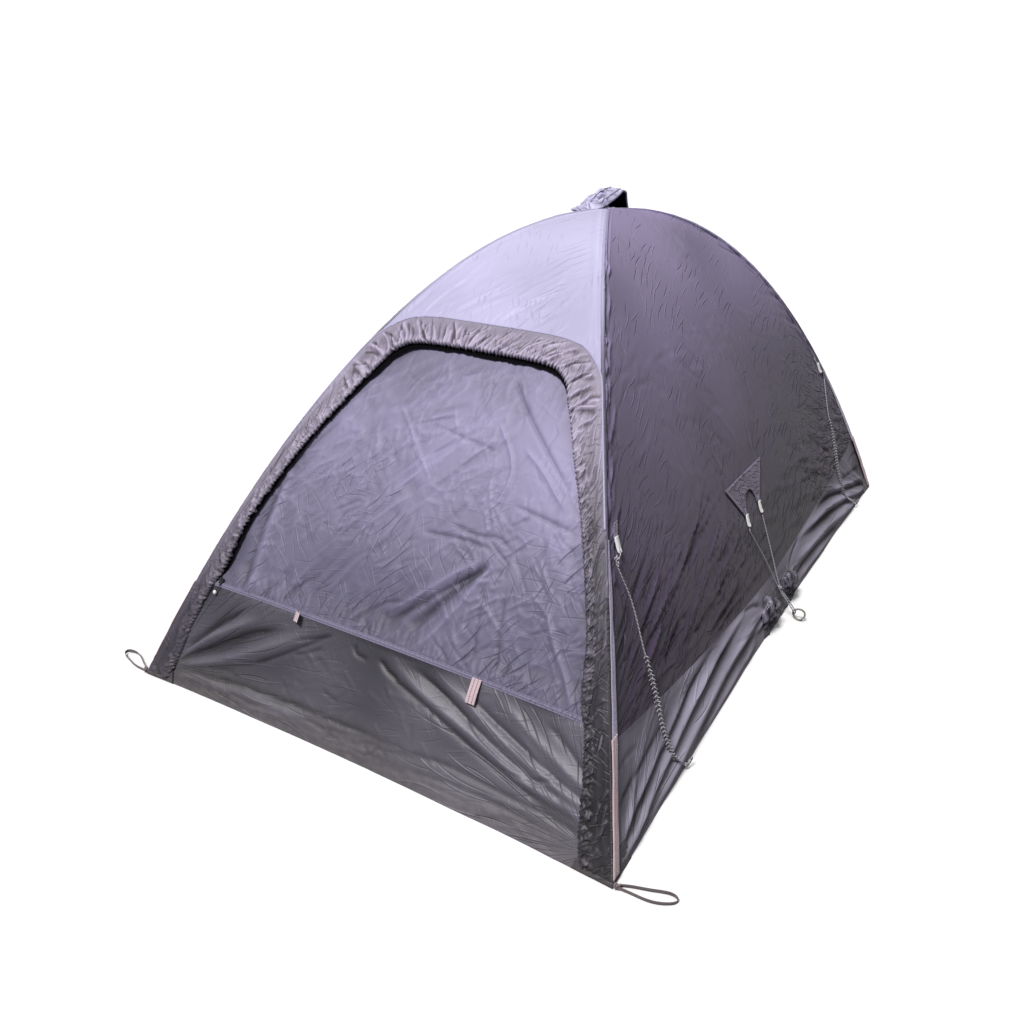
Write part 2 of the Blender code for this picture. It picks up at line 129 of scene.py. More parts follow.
class TentFormSettings(bpy.types.PropertyGroup):
    fold_depth: bpy.props.FloatProperty(
        name="Fold Depth", description="How deep the fabric's folds are, against the real tent's",
        default=1.0, min=0.0, max=2.0, subtype="FACTOR")
    elastic_pitch: size("Elastic Pitch", "Distance between the gathers along the elastic edge", 0.0085, 0.004, 0.03)
    ridge_roll: size("Ridge Roll", "Radius of the fabric where it turns over a pole", 0.0044, 0.002, 0.012)
    webbing_thickness: size("Webbing Thickness", "Thickness of the straps", 0.0014, 0.0005, 0.004)
    peg_webbing_width: size("Peg Webbing Width", "Width of the webbing in a peg loop", 0.0085, 0.004, 0.02)


class TentColourSettings(bpy.types.PropertyGroup):
    # Canopy, wall and door are one fabric: the canopy's paler colour is painted light and the wall's and door's
    # darker colours painted shade
    canopy: colour("Canopy", "Fabric above the door, of the foot end and of the vent's hood", (0.475, 0.452, 0.65))
    wall: colour("Wall", "Fabric of the long sides", (0.245, 0.2, 0.325))
    door: colour("Door", "Crinkled fabric of the door", (0.172, 0.156, 0.246))
    tub: colour("Tub", "Coated fabric of the floor and its upturned walls", (0.072, 0.067, 0.088))
    cuff: colour("Cuff", "Gathered band round the door", (0.246, 0.215, 0.286))
    patch: colour("Patches", "Reinforcing patches", (0.045, 0.04, 0.052))
    strap: colour("Straps", "Flat straps beside the ridges", (0.36, 0.33, 0.46))
    webbing: colour("Webbing", "Woven webbing at the corners", (0.56, 0.42, 0.46))
    cord: colour("Cords", "Guy cords", (0.24, 0.23, 0.265))
    plastic: colour("Locks", "Moulded line locks", (0.95, 0.95, 0.96))


class TentStudioSettings(bpy.types.PropertyGroup):
    key_power: bpy.props.FloatProperty(
        name="Key Strength", description="Strength of the sun in front of and above the tent", default=3.3, min=0.0)
    sky_strength: bpy.props.FloatProperty(
        name="Sky Strength", description="Strength of the soft light from all round", default=0.55, min=0.0)
    floor: colour("Floor", "Studio floor", (0.86, 0.86, 0.87))


# ---- the fabric's own geometry

def share_at(height):
    """How far up a ridge a height lies: 0 at the corner and 1 at the crossing."""
    return 1.0 - np.maximum(0.0, 1.0 - np.asarray(height, float) / HEIGHT) ** (1.0 / ARCH_POWER)


def columns(*values):
    return np.stack(values, axis=1)


def ridge(share, layer=0.0):
    """Half width, half length and height of the ridges; layer is the distance outside the fabric."""
    share = np.asarray(share, float)
    half_width = WIDTH / 2 * (1 - share) - WIDTH_BOW * np.sin(np.pi * share)
    half_length = LENGTH / 2 * (1 - share) - LENGTH_BOW * np.sin(np.pi * share)
    height = HEIGHT * (1 - (1 - share) ** ARCH_POWER)
    return (
        half_width * (1 + layer / (WIDTH / 2)),
        half_length * (1 + layer / (LENGTH / 2)),
        height * (1 + layer / HEIGHT),
    )


def is_end(side):
    return side in ("front", "back")


def half_girth(side, share):
    """Half the distance between the two ridges of a side."""
    half_width, half_length, _ = ridge(share)
    return half_width if is_end(side) else half_length


def side_point(side, u, share, layer=0.0):
    """Points on one side of the tent; u runs to the right for a viewer who faces that side."""
    u, share, layer = np.broadcast_arrays(np.asarray(u, float), share, layer)
    half_width, half_length, height = ridge(share, layer)
    base = BASE_BOW * (1 - u * u) * (1 - share) ** 4
    if is_end(side):
        x, y = u * (half_width - RIDGE_GAP), base - half_length
    else:
        sag = SIDE_SAG * (1 - u * u) * np.sin(np.pi * share) ** 2
        x, y = half_width - base - sag, u * (half_length - RIDGE_GAP)
    turn = -1 if side in ("back", "left") else 1
    return np.stack([turn * x, turn * y, height], axis=-1)


def front_point(x, height, layer):
    """Points on the door end at given places across it and heights."""
    share = share_at(height)
    return side_point("front", x / ridge(share)[0], share, layer)


def climb_table(side):
    shares = np.linspace(0, 1, 801)
    half_width, half_length, height = ridge(shares)
    steps = np.hypot(np.diff(half_length if is_end(side) else half_width), np.diff(height))
    return shares, np.concatenate(([0.0], np.cumsum(steps)))


CLIMBS = {side: climb_table(side) for side in ("front", "back", "left", "right")}


def climb(side, share):
    """Distance up the fabric from the ground, in metres."""
    return np.interp(share, *CLIMBS[side])


def share_of_climb(side, distance):
    shares, climbs = CLIMBS[side]
    return np.interp(distance, climbs, shares)


def tub_seam(side, u):
    """Height of the tub's seam: level on the ends, a hanging curve on the long sides."""
    if is_end(side):
        return np.full(np.shape(u), TUB_END_HEIGHT)
    rise = TUB_CORNER_HEIGHT - TUB_SIDE_HEIGHT
    return TUB_SIDE_HEIGHT + rise * np.abs(u) ** SEAM_CURVE


# The outer seam of the door's cuff and its elastic inner edge, as pairs of places from the ground to the
# middle of the top: half the width there and the height. None stands for the ridge itself.
CUFF_PLACES = (
    ((None, 0.012), (0.533, 0.012)), ((None, 0.05), (0.52, 0.05)), ((None, 0.09), (0.51, 0.09)),
    ((None, 0.14), (0.5, 0.14)), ((None, 0.21), (0.48, 0.21)), ((None, 0.257), (0.457, 0.257)),
    ((None, 0.34), (0.438, 0.34)), ((None, 0.405), (0.412, 0.405)), ((None, 0.49), (0.371, 0.49)),
    ((None, 0.557), (0.334, 0.557)), ((None, 0.62), (0.293, 0.62)), ((None, 0.67), (0.262, 0.67)),
    ((None, 0.7), (0.246, 0.69)), ((0.295, 0.732), (0.232, 0.711)), ((0.279, 0.752), (0.221, 0.726)),
    ((0.245, 0.776), (0.199, 0.741)), ((0.21, 0.79), (0.176, 0.749)), ((0.15, 0.797), (0.13, 0.753)),
    ((0.07, 0.798), (0.065, 0.754)), ((0.0, 0.798), (0.0, 0.754)),
)
DOOR_EDGE = np.array([inner for _, inner in CUFF_PLACES])
DOOR_EDGE_SIDE = DOOR_EDGE[:16]  # the part of the edge that still climbs steeply


# ---- folds and wrinkles, as heights over places in metres

def lattice_noise(x, y, seed, table_range, corner, ease):
    """Mixes what corner(drawn number, distance across, distance up) gives at a cell's four corners."""
    table = np.random.default_rng(seed).uniform(*table_range, (64, 64))
    left, low = np.floor(x).astype(int), np.floor(y).astype(int)
    right_share, up_share = x - left, y - low

    def row(up):
        first, second = (corner(table[(left + across) % 64, (low + up) % 64], right_share - across, up_share - up)
                         for across in (0, 1))
        return first * (1 - ease(right_share)) + second * ease(right_share)
    return row(0) * (1 - ease(up_share)) + row(1) * ease(up_share)


def soft_noise(x, y, seed):
    """Smooth noise from -1 to 1 whose hills are about one unit wide."""
    return lattice_noise(x, y, seed, (-1, 1), lambda drawn, across, up: drawn,
                         lambda share: share ** 2 * (3 - 2 * share))


def slope_noise(x, y, seed):
    """Gradient noise, near -1 to 1, whose zero lines wander like creases."""
    return 1.6 * lattice_noise(
        x, y, seed, (0, 2 * np.pi), lambda angle, across, up: np.cos(angle) * across + np.sin(angle) * up,
        lambda share: share ** 3 * (share * (share * 6 - 15) + 10))


def wrinkles(x, y, size, seed, angle=0.0, stretch=1.0, layers=3, rough=0.5):
    """A net of sharp-crested wrinkles about size apart, drawn out along a direction in degrees."""
    turn = math.radians(angle)
    along = (x * math.cos(turn) + y * math.sin(turn)) / stretch
    across = y * math.cos(turn) - x * math.sin(turn)
    bend = size * 0.5
    relief, weight, total = np.zeros_like(x), 1.0, 0.0
    for layer in range(layers):
        moved_x = along + bend * slope_noise(along / size / 1.7, across / size / 1.7, seed + 50 + layer)
        moved_y = across + bend * slope_noise(along / size / 1.7 + 9, across / size / 1.7, seed + 70 + layer)
        lines = slope_noise(moved_x / size + 5 * layer, moved_y / size, seed + layer)
        relief += weight * (1 - np.minimum(1, np.abs(lines) * 1.8)) ** 2
        total += weight
        size, weight = size / 1.9, weight * rough
    return relief / total - 0.25


def crumple(x, y, size, seed, layers=3, waves=3):
    """Flat facets between sharp creases, as in crushed nylon; size is a facet's width."""
    draw = np.random.default_rng(seed)
    relief, weight, total = np.zeros_like(x), 1.0, 0.0
    for layer in range(layers):
        for wave in range(waves):
            angle = draw.uniform(0, math.pi)
            bend = soft_noise(x / size * 0.6 + 7 * wave, y / size * 0.6 + 3 * layer, seed + 31 * layer + wave)
            turn = (x * math.cos(angle) + y * math.sin(angle)) / size + 0.9 * bend + draw.uniform(0, 2)
            relief += weight * (np.abs(turn % 2 - 1) - 0.5)
            total += weight
        size, weight = size / 1.9, weight / 1.9
    return relief / total * 2


def folds(x, y, lines):
    """Crests, or valleys where the height is negative, along smooth curves. A line holds its places on
    the cloth, its height and its width. Beside a crest the cloth is drawn down into a shallow moat."""
    relief = np.zeros_like(x)
    for places, height, width in lines:
        path = smooth_path([(*place, 0.0) for place in places], 9)[:, :2]
        reach = 6 * width
        low, high = path.min(axis=0) - reach, path.max(axis=0) + reach
        near = (x > low[0]) & (x < high[0]) & (y > low[1]) & (y < high[1])
        start, step = path[:-1], np.diff(path, axis=0)
        from_x, from_y = x[near][:, None] - start[:, 0], y[near][:, None] - start[:, 1]
        held = np.clip((from_x * step[:, 0] + from_y * step[:, 1]) / (step ** 2).sum(axis=1), 0, 1)
        squared = (from_x - held * step[:, 0]) ** 2 + (from_y - held * step[:, 1]) ** 2
        best = squared.argmin(axis=1)[:, None]
        distance = np.sqrt(np.take_along_axis(squared, best, axis=1)[:, 0])
        along = (best + np.take_along_axis(held, best, axis=1))[:, 0] / len(start)
        crest = 1.35 * np.exp(-np.sqrt(distance ** 2 + (0.35 * width) ** 2) / width)
        moat = 0.3 * np.exp(-(distance / (3 * width)) ** 2)
        ends = np.clip(np.minimum(along * 7 + 0.1, (1 - along) * 5), 0, 1)
        relief[near] += height * (crest - moat) * ends
    return relief


def crease(x, y, angle, length, aside=0.0, above=0.0):
    """Three places from x and y along a direction in radians, the middle one moved aside and up."""
    run, rise = length * math.cos(angle), length * math.sin(angle)
    return [(x, y), (x + run / 2 + aside, y + rise / 2 + above), (x + run, y + rise)]


def fan(centre, angles, reach, count, height, width, seed, start=0.02):
    """Lines that spread from a corner between two angles in degrees."""
    draw = np.random.default_rng(seed)
    lines = []
    for number in range(count):
        angle = angles[0] + (angles[1] - angles[0]) * (number + draw.uniform(0.1, 0.9)) / count
        bend, near, far = draw.uniform(-6, 6), start * draw.uniform(0.5, 2.0), draw.uniform(*reach)
        places = [(centre[0] + size * math.cos(math.radians(turn)), centre[1] + size * math.sin(math.radians(turn)))
                  for size, turn in ((near, angle), ((near + far) / 2, angle + bend), (far, angle))]
        lines.append((places, height * draw.uniform(0.45, 1.1) * draw.choice((1.0, -1.0)),
                      width * draw.uniform(0.6, 1.4)))
    return lines


def flowing(x_range, y_range, angle_at, lengths, count, height, width, seed, stray=8.0):
    """Creases strewn over a rectangle, each drawn along a direction that angle_at(x, y) gives in degrees."""
    draw = np.random.default_rng(seed)
    lines = []
    for _ in range(count):
        x, y = draw.uniform(*x_range), draw.uniform(*y_range)
        step, lean = draw.uniform(*lengths) / 4, draw.normal(0, stray)
        places = [(x, y)]
        for _ in range(4):
            angle = math.radians(angle_at(x, y) + lean + draw.normal(0, stray / 3))
            x, y = x + step * math.cos(angle), y + step * math.sin(angle)
            places.append((x, y))
        lines.append((places, height * draw.uniform(0.35, 1.0) * draw.choice((1.0, -1.0)),
                      width * draw.uniform(0.7, 1.3)))
    return lines


def scattered(x_range, y_range, angles, lengths, count, height, width, seed):
    """Creases strewn over a rectangle, within a range of directions in degrees."""
    middle, half = sum(angles) / 2, (angles[1] - angles[0]) / 2
    return flowing(x_range, y_range, lambda x, y: middle, lengths, count, height, width, seed, stray=half * 0.6)


def mirrored(lines):
    return [([(-x, y) for x, y in places], height, width) for places, height, width in lines]


def fade_in(distance, width):
    """0 at an edge, rising smoothly to 1 at the given width from it."""
    share = np.clip(distance / width, 0, 1)
    return share * share * (3 - 2 * share)


# ---- meshes

def points_of(mesh):
    points = np.empty(len(mesh.vertices) * 3)
    mesh.vertices.foreach_get("co", points)
    return points.reshape(-1, 3)


def put_points(mesh, points):
    mesh.vertices.foreach_set("co", np.ascontiguousarray(points, float).ravel())
    mesh.update()


def normals_of(mesh):
    normals = np.empty(len(mesh.vertices) * 3)
    mesh.vertex_normals.foreach_get("vector", normals)
    return normals.reshape(-1, 3)


def area_of(mesh):
    areas = np.empty(len(mesh.polygons))
    mesh.polygons.foreach_get("area", areas)
    return float(areas.sum())


def add_pattern(mesh, flat_places):
    """A UV map in metres, so that weave and wrinkles lie along the cloth."""
    corners = np.empty(len(mesh.loops), int)
    mesh.loops.foreach_get("vertex_index", corners)
    layer = mesh.uv_layers.new(name="Cloth")
    layer.uv.foreach_set("vector", np.ascontiguousarray(flat_places[corners], float).ravel())


# The fold attribute holds what the materials paint as shade in hollows and light on crests
def add_shade(mesh, values, name="fold"):
    attribute = mesh.attributes.new(name, "FLOAT", "POINT")
    attribute.data.foreach_set("value", np.ascontiguousarray(values, float))


def mesh_from(shell, name, smooth=False):
    mesh = bpy.data.meshes.new(name)
    shell.to_mesh(mesh)
    shell.free()
    if smooth:
        mesh.polygons.foreach_set("use_smooth", [True] * len(mesh.polygons))
    return mesh


def grid_mesh(name, columns, rows):
    """A flat grid and, for each of its points, how far across (-1 to 1) and up (0 to 1) it lies."""
    sheet = bmesh.new()
    bmesh.ops.create_grid(sheet, x_segments=columns, y_segments=rows, size=1.0)
    mesh = mesh_from(sheet, name, smooth=True)
    flat = points_of(mesh)
    return mesh, flat[:, 0].copy(), (flat[:, 1] + 1) / 2


def lay_out(mesh, places, flat, lift=0.0, shade=None, inside=TENT_MIDDLE):
    """Shapes a grid into a sheet whose faces look away from a point inside the tent, and raises its folds.
    flat are its places across and along the cloth, and shade what it paints as shade in its folds and light on
    their crests, or a function of the raised places; it is the lift where it is left out. Returns the area
    before the folds."""
    put_points(mesh, places)
    if ((points_of(mesh) - np.asarray(inside)) * normals_of(mesh)).sum() < 0:
        mesh.flip_normals()
    area = area_of(mesh)
    lift = np.broadcast_to(lift, len(places))
    put_points(mesh, points_of(mesh) + normals_of(mesh) * lift[:, None])
    add_pattern(mesh, columns(*flat))
    add_shade(mesh, lift if shade is None else shade(points_of(mesh)) if callable(shade) else shade)
    return area


def cloth(name, side, columns, rows, limits, relief, shade=None):
    """A sheet on one side of the tent. limits(across, up) gives u and share, relief(x, y, u, share)
    the height of its folds, where x and y are metres across and up the cloth, and shade(places) the painted
    shade and light added to what its folds paint. Returns its mesh, and its flat width, length and area."""
    mesh, across, up = grid_mesh(name, columns, rows)
    u, share = limits(across, up)
    x, y = u * half_girth(side, share), climb(side, share)
    lift = relief(x, y, u, share)
    area = lay_out(mesh, side_point(side, u, share), (x, y), lift,
                   None if shade is None else lambda places: lift + shade(places))
    return mesh, (float(np.ptp(x)), float(np.ptp(y))), area


def band(low, high, crowding=1.0, u_at=None):
    """Limits of a sheet between two heights, each a number or a function of u. Crowding over 1 sets more
    of its rows near its foot. It runs from ridge to ridge, or to where u_at(across, up, share) says."""
    def limits(across, up):
        bottom, top = (share_at(height(across) if callable(height) else height) for height in (low, high))
        share = bottom + (top - bottom) * up ** crowding
        return (u_at(across, up, share) if u_at else across), share
    return limits


def smooth_path(points, count):
    """Points read from one smooth curve through the given places, evenly along it."""
    places = [Vector(point) for point in points]
    ends = [2 * places[0] - places[1]] + places + [2 * places[-1] - places[-2]]
    fine = []
    for before, start, stop, after in zip(ends, ends[1:], ends[2:], ends[3:]):
        for step in range(24):
            t = step / 24
            fine.append(0.5 * (
                2 * start + (stop - before) * t
                + (2 * before - 5 * start + 4 * stop - after) * t ** 2
                + (3 * start - before - 3 * stop + after) * t ** 3
            ))
    fine.append(places[-1])
    fine = np.array(fine)
    runs = runs_of(fine)
    goals = np.linspace(0, runs[-1], count)
    return columns(*(np.interp(goals, runs, fine[:, axis]) for axis in range(3)))


def runs_of(path):
    """How far along a path each of its places lies."""
    return np.concatenate(([0.0], np.cumsum(np.linalg.norm(np.diff(path, axis=0), axis=1))))


def path_frames(path, first_side=(0.0, 0.0, 1.0)):
    """Two directions square to a path, carried along it without a twist."""
    following = np.roll(path, -1, axis=0) - np.roll(path, 1, axis=0)
    following[0], following[-1] = path[1] - path[0], path[-1] - path[-2]
    forward = following / np.linalg.norm(following, axis=1)[:, None]
    side = np.array(first_side, float)
    sides = np.empty_like(path)
    for number, direction in enumerate(forward):
        side = side - direction * side.dot(direction)
        side /= np.linalg.norm(side)
        sides[number] = side
    return sides, np.cross(forward, sides)


def tube_mesh(name, path, radius, sides=10, closed=False, ribs=None, first_side=(0.0, 0.0, 1.0), flatten=1.0):
    """A tube along a path; ribs(turn, along) changes its radius, flatten squeezes it along its second side."""
    mesh, around, up = grid_mesh(name, sides, len(path) - 1)
    index = np.rint(up * (len(path) - 1)).astype(int)
    first, second = path_frames(path, first_side)
    angle, along = np.pi * around, runs_of(path)[index]
    size = radius * (ribs(angle, along) if ribs else np.ones(len(angle)))
    offset = (first[index] * np.cos(angle)[:, None] + second[index] * np.sin(angle)[:, None] * flatten)
    put_points(mesh, path[index] + offset * size[:, None])
    add_pattern(mesh, columns(around * np.pi * radius, along))
    shell = bmesh.new()
    shell.from_mesh(mesh)
    bmesh.ops.remove_doubles(shell, verts=shell.verts[:], dist=1e-6)
    if not closed:
        bmesh.ops.holes_fill(shell, edges=shell.edges[:], sides=sides + 2)
    bmesh.ops.recalc_face_normals(shell, faces=shell.faces[:])
    shell.to_mesh(mesh)
    shell.free()
    return mesh


def joined(name, meshes):
    """One mesh out of several separate ones."""
    whole = bmesh.new()
    for part in meshes:
        whole.from_mesh(part)
        bpy.data.meshes.remove(part)
    return mesh_from(whole, name)


def add_piece(name, mesh, material, slot, replaces=None):
    """An object for a finished mesh with the named finish. It rides with the tent; slot is not used."""
    piece = bpy.data.objects.new(name, mesh)
    bpy.context.scene.collection.objects.link(piece)
    mesh.materials.append(finish(material))
    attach(piece, "root")
    if replaces:
        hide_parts(replaces)
    return piece


def add_joined(name, meshes, material, slot):
    return add_piece(name, joined(name, meshes), material, slot)


def add_tube(name, path, radius, material, slot, replaces=None, **form):
    return add_piece(name, tube_mesh(name, path, radius, **form), material, slot, replaces)


def add_sheet(name, side, size, limits, relief, looks, replaces, shade=None):
    """A whole panel of fabric on one side.
    size are its columns and rows, and looks its finish and slot."""
    mesh, flat, area = cloth(name, side, *size, limits, relief, shade)
    piece = add_piece(name, mesh, *looks, replaces)
    min(area, flat[0] * flat[1])
    return piece


def thicken(piece, thickness):
    solid = piece.modifiers.new("Thickness", "SOLIDIFY")
    solid.thickness, solid.offset = thickness, -1.0
    return solid


def soften(piece, width=0.0006):
    edge = piece.modifiers.new("Soft Edges", "BEVEL")
    edge.width, edge.segments, edge.limit_method = width, 2, "ANGLE"


# ---- material building blocks

class Graph:
    """Adds nodes to a tree. What goes into them are numbers, colours or other nodes' outputs."""
    def __init__(self, tree):
        self.tree = tree

    def feed(self, socket, value):
        if isinstance(value, bpy.types.NodeSocket):
            self.tree.links.new(value, socket)
        else:
            socket.default_value = value

    def node(self, kind, inputs=None, **settings):
        made = self.tree.nodes.new("ShaderNode" + kind)
        for name, value in settings.items():
            setattr(made, name, value)
        for place, value in (inputs or {}).items():
            self.feed(made.inputs[place], value)
        return made.outputs

    def math(self, operation, *values, clamp=False):
        return self.node("Math", dict(enumerate(values)), operation=operation, use_clamp=clamp)[0]

    def mul(self, first, second, clamp=False):
        return self.math("MULTIPLY", first, second, clamp=clamp)

    def sub(self, first, second, clamp=False):
        return self.math("SUBTRACT", first, second, clamp=clamp)

    def mul_add(self, first, second, added, clamp=False):
        return self.math("MULTIPLY_ADD", first, second, added, clamp=clamp)

    def vector(self, operation, first, second):
        return self.node("VectorMath", {0: first, 1: second}, operation=operation)[0]

    def apart(self, vector):
        return self.node("SeparateXYZ", {0: vector})

    def ramp(self, value, low, high, first=0.0, last=1.0):
        """Eases from first to last while the value goes from low to high."""
        return self.node("MapRange", {0: value, 1: low, 2: high, 3: first, 4: last},
                         interpolation_type="SMOOTHSTEP")[0]

    def noise(self, place, scale, detail, **settings):
        return self.node("TexNoise", {"Vector": place, "Scale": scale, "Detail": detail}, **settings)[0]

    def mix(self, share, first, second, blend="MIX"):
        return self.node("Mix", {0: share, 6: first, 7: second}, data_type="RGBA", blend_type=blend)[2]

    def bump(self, height, strength, distance, below=None):
        inputs = {"Height": height, "Strength": strength, "Distance": distance}
        if below is not None:
            inputs["Normal"] = below
        return self.node("Bump", inputs)[0]

    def place(self):
        return self.node("TexCoord")["Object"]

    def cloth_place(self):
        return self.node("UVMap", uv_map="Cloth")[0]

    def group(self, name, **inputs):
        """A shared group, which is made the first time."""
        shared = bpy.data.node_groups.get(name) or make_group(name)
        return self.node("Group", {key.replace("_", " "): value for key, value in inputs.items()}, node_tree=shared)


GROUPS = {}
GREY = (0.5, 0.5, 0.5, 1.0)


def shared_group(name, inputs, outputs):
    """Keeps the function that fills a group. An input's default tells its kind, and None is a vector."""
    def keep(fill):
        GROUPS[name] = inputs, outputs, fill
        return fill
    return keep


def make_group(name):
    """A node group with named sockets, filled by its own function."""
    inputs, outputs, fill = GROUPS[name]
    tree = bpy.data.node_groups.new(name, "ShaderNodeTree")
    for label, default in inputs.items():
        kind = "Vector" if default is None else "Color" if isinstance(default, tuple) else "Float"
        socket = tree.interface.new_socket(label, in_out="INPUT", socket_type="NodeSocket" + kind)
        if default is not None:
            socket.default_value = default
    for label, kind in outputs.items():
        tree.interface.new_socket(label, in_out="OUTPUT", socket_type="NodeSocket" + kind)
    start, end = tree.nodes.new("NodeGroupInput"), tree.nodes.new("NodeGroupOutput")
    graph = Graph(tree)
    for label, value in zip(outputs, fill(graph, start.outputs)):
        graph.feed(end.inputs[label], value)
    return tree


@shared_group("Woven Threads", {"Place": None, "Threads": 900.0, "Rip Spacing": 180.0}, {"Height": "Float"})
def woven_threads(g, given):
    """Crossed threads, with a heavier thread every few rows as in ripstop."""
    apart = g.apart(given["Place"])
    plain, heavy = ([g.math("ABSOLUTE", g.math("SINE", g.mul(apart[axis], given[rate]))) for axis in (0, 1)]
                    for rate in ("Threads", "Rip Spacing"))
    heavy = [g.math("POWER", wave, 14.0) for wave in heavy]
    return [g.mul_add(g.math("MAXIMUM", *heavy), 0.8, g.math("MAXIMUM", *plain))]


@shared_group("Scattered Creases", {"Place": None, "Angle": 0.9, "Length": 0.06, "Spacing": 0.012,
                                    "Width": 0.003, "Spread": 0.5}, {"Height": "Float"})
def scattered_creases(g, given):
    """Short straight creases of thin nylon, strewn along one direction: each cell holds a crest or a
    valley with its own lean and bend."""
    turned = g.node("VectorRotate", {"Vector": given["Place"], "Angle": g.mul(given["Angle"], -1.0)},
                    rotation_type="Z_AXIS")[0]
    size = g.node("CombineXYZ", {0: given["Length"], 1: given["Spacing"], 2: 1.0})[0]
    cells = g.vector("DIVIDE", turned, size)
    cell = g.node("TexVoronoi", {"Vector": cells, "Scale": 1.0, "Randomness": 1.0}, voronoi_dimensions="2D")
    away = g.vector("SUBTRACT", cells, cell["Position"])
    offset, drawn = g.apart(g.vector("MULTIPLY", away, size)), g.apart(cell["Color"])
    lean = g.mul(g.sub(drawn[0], 0.5), given["Spread"])
    slope = g.mul_add(offset[0], g.mul(g.sub(drawn[2], 0.5), 9.0), lean)
    off = g.math("ABSOLUTE", g.sub(offset[1], g.mul(offset[0], slope)))
    crest = g.math("POWER", g.sub(1.0, g.math("DIVIDE", off, given["Width"], clamp=True)), 1.5)
    ends = g.mul_add(g.math("ABSOLUTE", g.apart(away)[0]), -2.6, 1.3, clamp=True)
    sign = g.mul_add(g.math("GREATER_THAN", drawn[1], 0.5), 2.0, -1.0)
    return [g.mul(g.mul(crest, ends), sign)]


@shared_group("Pulled From Corner", {"Place": None, "Across": 1.02, "Up": 0.08, "Reach": 0.8},
              {"Place": "Vector", "Share": "Float"})
def pulled_from_corner(g, given):
    """Places measured round a low corner, in both halves of a cloth, and how near that corner they are."""
    apart = g.apart(given["Place"])
    across, up = g.sub(given["Across"], g.math("ABSOLUTE", apart[0])), g.sub(apart[1], given["Up"])
    far = g.math("SQRT", g.mul_add(across, across, g.mul(up, up)))
    angle = g.mul(g.math("ARCTAN2", up, across), 0.5)
    return [g.node("CombineXYZ", {0: far, 1: angle, 2: 0.0})[0],
            g.ramp(g.math("DIVIDE", far, given["Reach"]), 0.35, 1.0, 1.0, 0.0)]


@shared_group("Painted Fold Shade And Drift", {"Colour": GREY, "Fold": 0.0, "Place": None, "Depth": 0.25, "Drift": 0.1,
                            "Gain": 90.0}, {"Colour": "Color"})
def painted_fold_shade_and_drift(g, given):
    """Paints shade into the fabric's colour in its folds and a highlight on their crests, and lets the colour drift a
    little at random.
    """
    raised = g.mul_add(given["Fold"], given["Gain"], 0.5, clamp=True)
    cloud = g.noise(given["Place"], 5.0, 3.0)
    factor, drift = (g.mul_add(g.sub(value, 0.5), g.mul(given[label], 2.0), 1.0)
                     for value, label in ((raised, "Depth"), (cloud, "Drift")))
    return [g.node("VectorMath", {0: given["Colour"], 3: g.mul(factor, drift)}, operation="SCALE")[0]]


@shared_group("Ground Dust", {"Colour": GREY, "Place": None, "Top": 0.1, "Amount": 0.4,
                              "Dust": (0.3, 0.27, 0.25, 1.0)}, {"Colour": "Color", "Mask": "Float"})
def ground_dust(g, given):
    """Pale dust and grime, thickest at the ground and gone above a given height."""
    low = g.sub(1.0, g.math("DIVIDE", g.apart(given["Place"])[2], given["Top"]), clamp=True)
    mask = g.mul(g.mul(low, given["Amount"]), g.noise(given["Place"], 55.0, 5.0), clamp=True)
    return [g.mix(mask, given["Colour"], given["Dust"]), mask]


@shared_group("Stitch Row", {"Place": None, "Offset": 0.0, "Pitch": 0.004, "Width": 0.0008}, {"Mask": "Float"})
def stitch_row(g, given):
    """One row of stitches along the length of a strap."""
    apart = g.apart(given["Place"])
    in_row = g.math("LESS_THAN", g.math("ABSOLUTE", g.sub(apart[0], given["Offset"])), given["Width"])
    beat = g.math("FRACT", g.math("DIVIDE", apart[1], given["Pitch"]))
    return [g.mul(in_row, g.math("LESS_THAN", beat, 0.68))]


# ---- finishes: each gives the inputs of a material's shader

def four(colour_value):
    return (*colour_value, 1.0)


